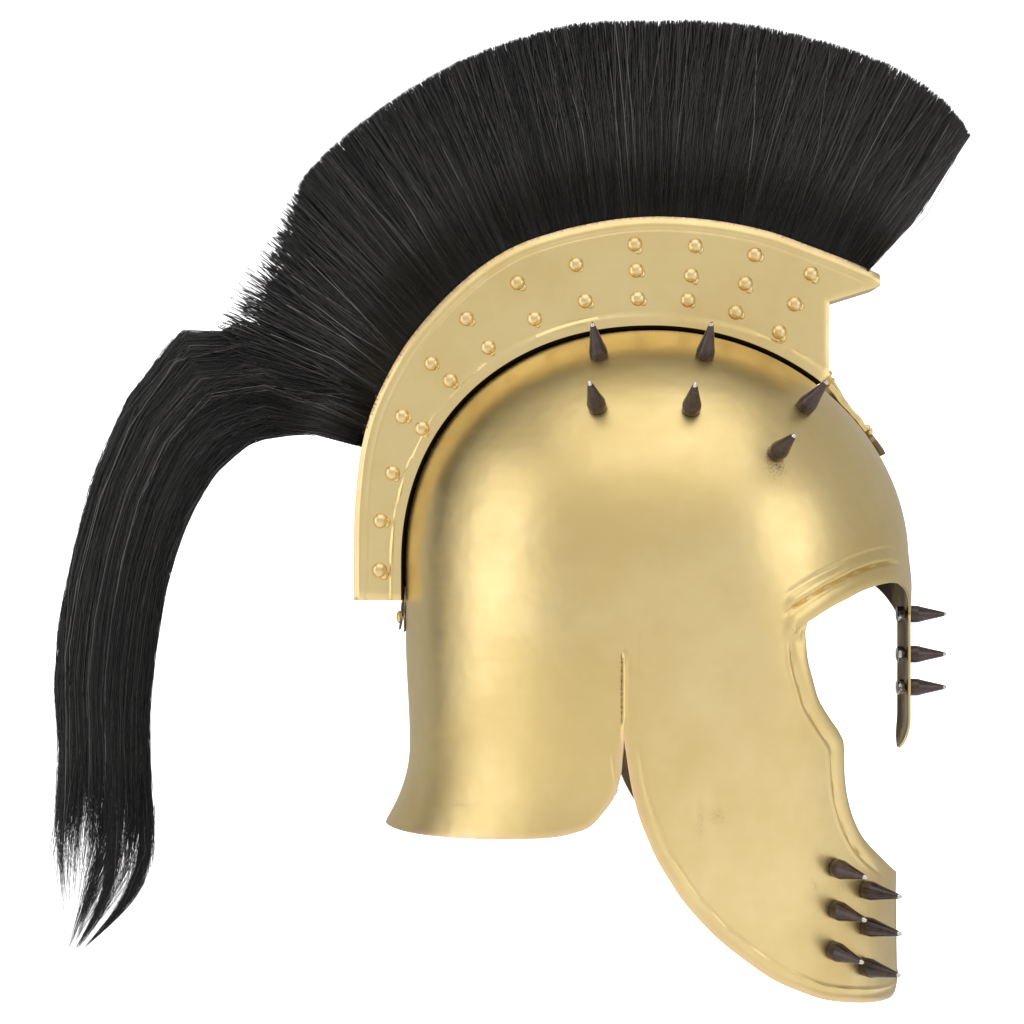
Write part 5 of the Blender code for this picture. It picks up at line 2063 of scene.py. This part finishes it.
        # the cropped ends are nearly level, and frayed towards the rear
        cropped = np.abs(rng.normal(0, 0.45, count)) + 0.35 * (tuft[:, 1] + 1)
        loose = np.maximum(rng.random(count) ** 0.6 * self.fray_loss + 2.5 * tuft[:, 1], 0.0)
        lost = cropped * (1 - frayed) + loose * np.minimum(1, 1.5 * frayed)
        shape = 0.72 + 0.28 * np.sqrt(np.clip(1 - side**4, 0, 1))
        reach = self.tip_reach(tip) - MM * lost - 1.5 * MM * (1 - shape)
        droop = self.droop * np.clip((self.droop_start - angle) / self.droop_run, 0, 1)
        bow = rng.normal(0, 0.55, count)
        low = self.root_reach(root) - 6 * MM
        rows = []
        for share in self.steps:
            at = mix(root, tip, share) + bow * math.sin(math.pi * share) - droop * share**2
            half = mix(self.root_half, self.tip_half, share**0.8)
            spread = side * half + rng.normal(0, 0.35 * MM, count) * share
            limit = half + 0.2 * MM
            rows.append(self.space(at, mix(low, reach, share), np.clip(spread, -limit, limit)))
        radius = rng.uniform(*self.hair_radius, count) * MM
        tone = rng.random(count)
        # painted light and shade: hairs towards the fan's front are painted paler, those at its
        # rear darker
        paler = 0.40 * ((angle - self.rear) / span) ** 1.5 - 0.12
        tone = np.where(tone < self.pale_from, np.minimum(tone + paler, 0.95), tone)
        paths = np.stack(rows, axis=1)
        name = f"brush_hair_{number + 1}"
        hair_mesh(name, paths, radius, tone, self.finish, ["crest_brush"], 0.1)


@dataclass
class Tail:
    """The long bundle that leaves the crest's rear end and hangs down behind the neck."""

    brush: Brush
    finish: Material
    reach: float = 298.0 * MM
    drop: float = 308.0 * MM
    half_depth: float = 18.6 * MM
    strands: int = 3000
    pieces: int = 2
    steps: int = 10
    upper: float = 31.0
    lower: float = 22.2
    late_start: float = 0.72
    late_run: float = 0.22
    hair_radius: Pair = (0.13, 0.22)
    stray_radius: float = 0.09 * MM
    pale_from: float = 0.962
    darker: float = 0.72
    lock_table: Table = (
        # place, depth, scale of the run beyond the start, start of its ends, furthest end
        (0.98, 0.2, 0.046, 0.80, 0.965),
        (0.84, -0.5, 0.044, 0.79, 0.96),
        (0.66, 0.6, 0.042, 0.78, 0.96),
        (0.47, -0.2, 0.046, 0.78, 0.97),
        (0.24, 0.5, 0.044, 0.77, 0.97),
        (0.05, -0.6, 0.046, 0.78, 0.98),
        (-0.27, 0.1, 0.060, 0.95, 1.03),
        (-0.31, -0.3, 0.050, 0.93, 1.03),
        (-0.56, 0.6, 0.038, 0.79, 0.97),
        (-0.74, -0.4, 0.048, 0.79, 0.99),
        (-0.98, 0.1, 0.060, 0.92, 1.03),
    )
    root_sections: Table = (
        (0.09, 0.510, 0.181, 0.64),
        (0.30, 0.547, 0.169, 0.72),
        (0.50, 0.587, 0.160, 0.80),
        (0.70, 0.624, 0.161, 0.87),
        (0.86, 0.651, 0.167, 0.92),
    )
    sections: Table = (
        (0.746, -0.031, 0.678, 0.182, 0.92),
        (0.805, 0.0136, 0.705, 0.201, 0.95),
        (0.859, 0.0786, 0.735, 0.234, 1.00),
        (0.894, 0.144, 0.762, 0.271, 1.00),
        (0.923, 0.208, 0.779, 0.312, 1.00),
        (0.946, 0.273, 0.792, 0.347, 1.00),
        (0.963, 0.338, 0.805, 0.383, 1.00),
        (0.977, 0.403, 0.815, 0.422, 1.00),
        (0.990, 0.468, 0.824, 0.474, 0.98),
        (0.997, 0.533, 0.831, 0.536, 0.95),
        (0.998, 0.598, 0.841, 0.601, 0.91),
        (0.987, 0.663, 0.844, 0.662, 0.86),
        (0.987, 0.728, 0.836, 0.727, 0.80),
        (0.997, 0.793, 0.837, 0.792, 0.72),
        (0.987, 0.858, 0.842, 0.857, 0.60),
        (0.970, 0.903, 0.856, 0.899, 0.48),
        (0.966, 0.948, 0.893, 0.945, 0.34),
        (0.970, 0.990, 0.936, 0.987, 0.18),
        (0.987, 1.014, 0.964, 1.012, 0.12),
    )

    def borders(self) -> tuple[np.ndarray, np.ndarray, np.ndarray]:
        """Outer edge, inner edge and half depth along the bundle, close together."""
        brush = self.brush
        outer: list[Vector] = []
        inner: list[Vector] = []
        depth: list[float] = []
        for height in (-8 * MM, 0.5 * MM):
            for angle, line in ((self.upper, outer), (self.lower, inner)):
                reach = float(brush.root_reach(np.array(angle))) + height
                line.append(Vector(brush.space(np.array(angle), np.array(reach), np.array(0.0))))
            depth.append(brush.root_half)
        root = outer[1]
        reach = brush.tip_reach(np.array(self.upper))
        tip = Vector(brush.space(np.array(self.upper), reach, np.array(0.0)))
        for share, back, fall, deep in self.root_sections:
            outer.append(root.lerp(tip, share))
            inner.append(side_view(-back * self.reach, fall * self.drop))
            depth.append(deep * self.half_depth)
        for out_back, out_fall, in_back, in_fall, deep in self.sections:
            outer.append(side_view(-out_back * self.reach, out_fall * self.drop))
            inner.append(side_view(-in_back * self.reach, in_fall * self.drop))
            depth.append(deep * self.half_depth)
        middle = [(a + b) / 2 for a, b in zip(outer, inner)]
        lengths = [0.0]
        for a, b in zip(middle, middle[1:]):
            lengths.append(lengths[-1] + (b - a).length)
        at = np.linspace(0.0, 1.0, 241)
        known = np.array(lengths) / lengths[-1]
        tables = []
        for line in (outer, inner):
            points = np.array(line)
            tables.append(np.stack([np.interp(at, known, points[:, i]) for i in range(3)], axis=1))
        deep = np.interp(at, known, np.array(depth))
        return self.soften(tables[0], 7), self.soften(tables[1], 9), deep

    def soften(self, table: np.ndarray, window: int) -> np.ndarray:
        """The table averaged over a short run, with its ends kept."""
        padded = np.concatenate(
            [np.repeat(table[:1], window, axis=0), table, np.repeat(table[-1:], window, axis=0)]
        )
        kernel = np.ones(2 * window + 1) / (2 * window + 1)
        columns = [np.convolve(padded[:, i], kernel, mode="valid") for i in range(3)]
        return np.stack(columns, axis=1)

    def read(self, table: np.ndarray, at: np.ndarray) -> np.ndarray:
        """Values of the table at these shares of the way along."""
        x = np.clip(at, 0, 1) * (len(table) - 1)
        low = np.minimum(x.astype(int), len(table) - 2)
        part = x - low
        if table.ndim > 1:
            part = part[..., None]
        return table[low] * (1 - part) + table[low + 1] * part

    def build(self) -> None:
        """Makes the dark core and the hairs over it."""
        outer, inner, depth = self.borders()
        self.build_core(outer, inner, depth)
        rng = np.random.default_rng(23)
        for number in range(self.pieces):
            self.build_hairs(rng, number, outer, inner, depth)

    def build_core(self, outer: np.ndarray, inner: np.ndarray, depth: np.ndarray) -> None:
        """Makes the dense middle of the bundle.

        Args:
            outer: Points of the outer edge.
            inner: Points of the inner edge.
            depth: Half depths.
        """
        bm = bmesh.new()
        columns, rows = 24, 60

        def place(column: int, row: int) -> Vector:
            at = np.array(mix(0.03, 0.77, row / rows))
            a, b = self.read(outer, at), self.read(inner, at)
            deep = float(self.read(depth, at))
            turn = 2 * math.pi * column / columns
            shrink = 0.80 * (1 - 0.9 * smooth((row / rows - 0.80) / 0.20))
            arm = (a - b) / 2 * shrink * math.cos(turn)
            point = Vector((a + b) / 2 + arm)
            point.x = deep * 0.82 * math.sin(turn) * (shrink / 0.80)
            return point

        sheet(bm, columns, rows, place)
        close_body(bm)
        bm.verts.layers.float.new("tone")
        piece("tail_core", bm, self.finish, Slot.HAIR, ["crest_tail"], 60.0)

    def build_hairs(
        self,
        rng: np.random.Generator,
        number: int,
        outer: np.ndarray,
        inner: np.ndarray,
        depth: np.ndarray,
    ) -> None:
        """Makes one piece of the bundle's hairs.

        Args:
            rng: Source of chance.
            number: Number of the piece.
            outer: Points of the outer edge.
            inner: Points of the inner edge.
            depth: Half depths.
        """
        count = self.strands
        around = rng.uniform(0, 2 * math.pi, count)
        fill = np.sqrt(rng.uniform(0.42, 1.0, count))
        place = fill * np.cos(around)
        deep = fill * np.sin(around)
        # each hair joins the nearest lock, which it nears along the tail's last part
        locks = np.array(self.lock_table)
        chance = np.random.default_rng(77)
        lock_wave = chance.uniform(0, 2 * math.pi, (len(locks), 2))
        gap = (place[:, None] - locks[:, 0]) ** 2 + (0.5 * (deep[:, None] - locks[:, 1])) ** 2
        gap = gap + rng.uniform(0, 0.16, gap.shape)
        lock = np.argmin(gap, axis=1)
        run = rng.exponential(1.0, count) * locks[lock, 2]
        end = np.minimum(locks[lock, 3] + run, locks[lock, 4] - 0.02 * rng.random(count))
        whole = (rng.random(count) < 0.45) | (place > 0.2)
        start = np.where(whole, 0.0, rng.uniform(0.0, 0.30, count))
        stray = np.where(rng.random(count) < 0.012, rng.random(count), 0.0)
        rows = []
        wander = rng.normal(0, 1.0, (count, 3))
        for share in np.linspace(0.0, 1.0, self.steps + 1):
            at = start + (end - start) * share
            late = np.clip((at - self.late_start) / self.late_run, 0, 1) ** 1.3
            pull = 0.10 + (0.52 + 0.28 * (locks[lock, 2] > 0.05)) * late
            s = mix(place, locks[lock, 0], pull)
            t = mix(deep, locks[lock, 1], pull)
            sway = np.sin(9 * at + lock_wave[lock, 0]) * (0.03 + 0.22 * late)
            s = s + sway + 0.03 * wander[:, 0] * np.sin(math.pi * at * 2 + wander[:, 1])
            s = s + 0.13 * late * wander[:, 2]
            t = t + 0.10 * np.sin(7 * at + lock_wave[lock, 1]) * (0.4 + late)
            s = s + 0.6 * late * late * (s > -0.1)
            s = np.clip(s, -1.0 - 0.3 * late, 1.0 + 0.5 * late)
            s = s + 0.7 * stray * np.sin(math.pi * np.clip((at - 0.24) / 0.34, 0, 1))
            a, b = self.read(outer, at), self.read(inner, at)
            points = (a + b) / 2 + (a - b) / 2 * s[:, None]
            points[:, 0] = self.read(depth, at) * np.clip(t, -1, 1)
            rows.append(points)
        paths = np.stack(rows, axis=1)
        radius = rng.uniform(*self.hair_radius, count) * MM
        radius = np.where(stray > 0, self.stray_radius, radius)
        name = f"tail_hair_{number + 1}"
        tone = rng.random(count)
        tone = np.where(tone < self.pale_from, self.darker * tone, tone)
        hair_mesh(name, paths, radius, tone, self.finish, ["crest_tail"], 0.5)


# ---------------------------------------------------------------- studio


@dataclass(frozen=True)
class SoftBox:
    """Rectangular light: its name, place, aim, size in metres and power in watts."""

    name: str
    place: tuple[float, float, float]
    aim: tuple[float, float, float]
    size: Pair
    power: float

    def hang(self) -> None:
        """Adds the light to the scene."""
        light = bpy.data.lights.new(self.name, "AREA")
        light.shape = "RECTANGLE"
        light.size, light.size_y = self.size
        light.energy = self.power
        obj = bpy.data.objects.new(self.name, light)
        obj.location = self.place
        away = Vector(self.aim) - Vector(self.place)
        obj.rotation_euler = away.to_track_quat("-Z", "Y").to_euler()
        bpy.context.scene.collection.objects.link(obj)


@dataclass
class Studio:
    """White sweep, soft lights and the camera of the product picture."""

    finish: Material
    near_finish: Material
    floor_level: float = -0.62
    half_wide: float = 3.2
    surroundings: float = 0.5
    camera_place: tuple[float, float, float] = (-0.850, 0.069, -0.089)
    lens: float = 59.8
    boxes: Sequence[SoftBox] = (
        SoftBox("softbox_left", (-0.55, 1.40, 0.16), (0, 0.03, -0.05), (0.9, 1.5), 5.2),
        SoftBox("softbox_right", (-1.05, -1.20, 0.25), (0, -0.03, -0.1), (0.8, 1.0), 3.4),
        SoftBox("softbox_top", (-0.95, 0.05, 1.45), (0, 0, -0.05), (2.2, 1.7), 13.0),
        SoftBox("fill_wall", (-2.3, 0.0, 0.0), (0, 0, -0.05), (3.2, 2.6), 7.4),
    )

    def build(self) -> None:
        """Makes the floor, the lights and the camera."""
        self.build_sweep()
        self.build_lights()
        self.build_camera()

    def build_sweep(self) -> None:
        """Makes a paper floor that curves up behind the helmet."""
        near, middle, far, bend, high = -3.2, 0.45, 1.9, 0.8, 2.6
        floor = [(mix(near, middle, i / 8), 0.0) for i in range(9)]
        back = [(mix(middle, far, i / 4), 0.0) for i in range(5)]
        for i in range(1, 17):
            angle = math.pi / 2 * i / 16
            back.append((far + bend * math.sin(angle), bend * (1 - math.cos(angle))))
        back.append((far + bend, high))
        self.add_paper("paper_floor", floor, self.near_finish, True)
        self.add_paper("paper_backdrop", back, self.finish, False)

    def add_paper(self, name: str, rows: Row, finish: Material, mirrored: bool) -> None:
        """Adds a sheet of paper.

        Args:
            name: Name of the sheet.
            rows: (distance, height) pairs from front to back.
            finish: Material that it wears.
            mirrored: Whether polished metal shows it.
        """
        bm = bmesh.new()
        columns = 8

        def place(column: int, row: int) -> Vector:
            distance, height = rows[row]
            side = mix(-self.half_wide, self.half_wide, column / columns)
            return Vector((distance, side, self.floor_level + height))

        sheet(bm, columns, len(rows) - 1, place)
        bmesh.ops.recalc_face_normals(bm, faces=bm.faces)
        obj = object_of(name, bm, finish)
        obj.visible_glossy = mirrored

    def build_lights(self) -> None:
        """Hangs the soft boxes and sets the pale surroundings."""
        for box in self.boxes:
            box.hang()
        world = bpy.data.worlds.new("studio_white")
        world.use_nodes = True
        background = world.node_tree.nodes["Background"]
        background.inputs["Color"].default_value = (1, 1, 1, 1)
        background.inputs["Strength"].default_value = self.surroundings
        bpy.context.scene.world = world

    def build_camera(self) -> None:
        """Sets the camera level with the helmet's middle, looking at its right side."""
        camera = bpy.data.cameras.new("camera")
        camera.lens = self.lens
        camera.sensor_width = 36.0
        obj = bpy.data.objects.new("camera", camera)
        obj.location = self.camera_place
        obj.rotation_euler = (math.radians(90), 0, math.radians(-90))
        scene = bpy.context.scene
        scene.collection.objects.link(obj)
        scene.camera = obj
        scene.view_settings.view_transform = "Standard"


# ---------------------------------------------------------------- all of it


def main() -> None:
    """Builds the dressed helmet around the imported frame."""
    logging.basicConfig(level=logging.INFO, format="%(name)s: %(message)s")
    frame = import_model()
    form = SkullForm()
    brass = SatinBrass().material()
    dark = DarkBracket().material()
    hair = BlackHair().material()
    holder = Holder(form, brass)
    Shell(form, brass, InnerBrass().material()).build()
    holder.build()
    Spikes(form, BrownSpike().material()).build(frame["nodes"])
    Fittings(form, brass, dark).build()
    brush = Brush(form, holder, hair)
    brush.build()
    Tail(brush, hair).build()
    near_paper = PaperFloor("near_paper", glow=0.22)
    Studio(PaperFloor().material(), near_paper.material()).build()


if __name__ == "__main__":
    main()
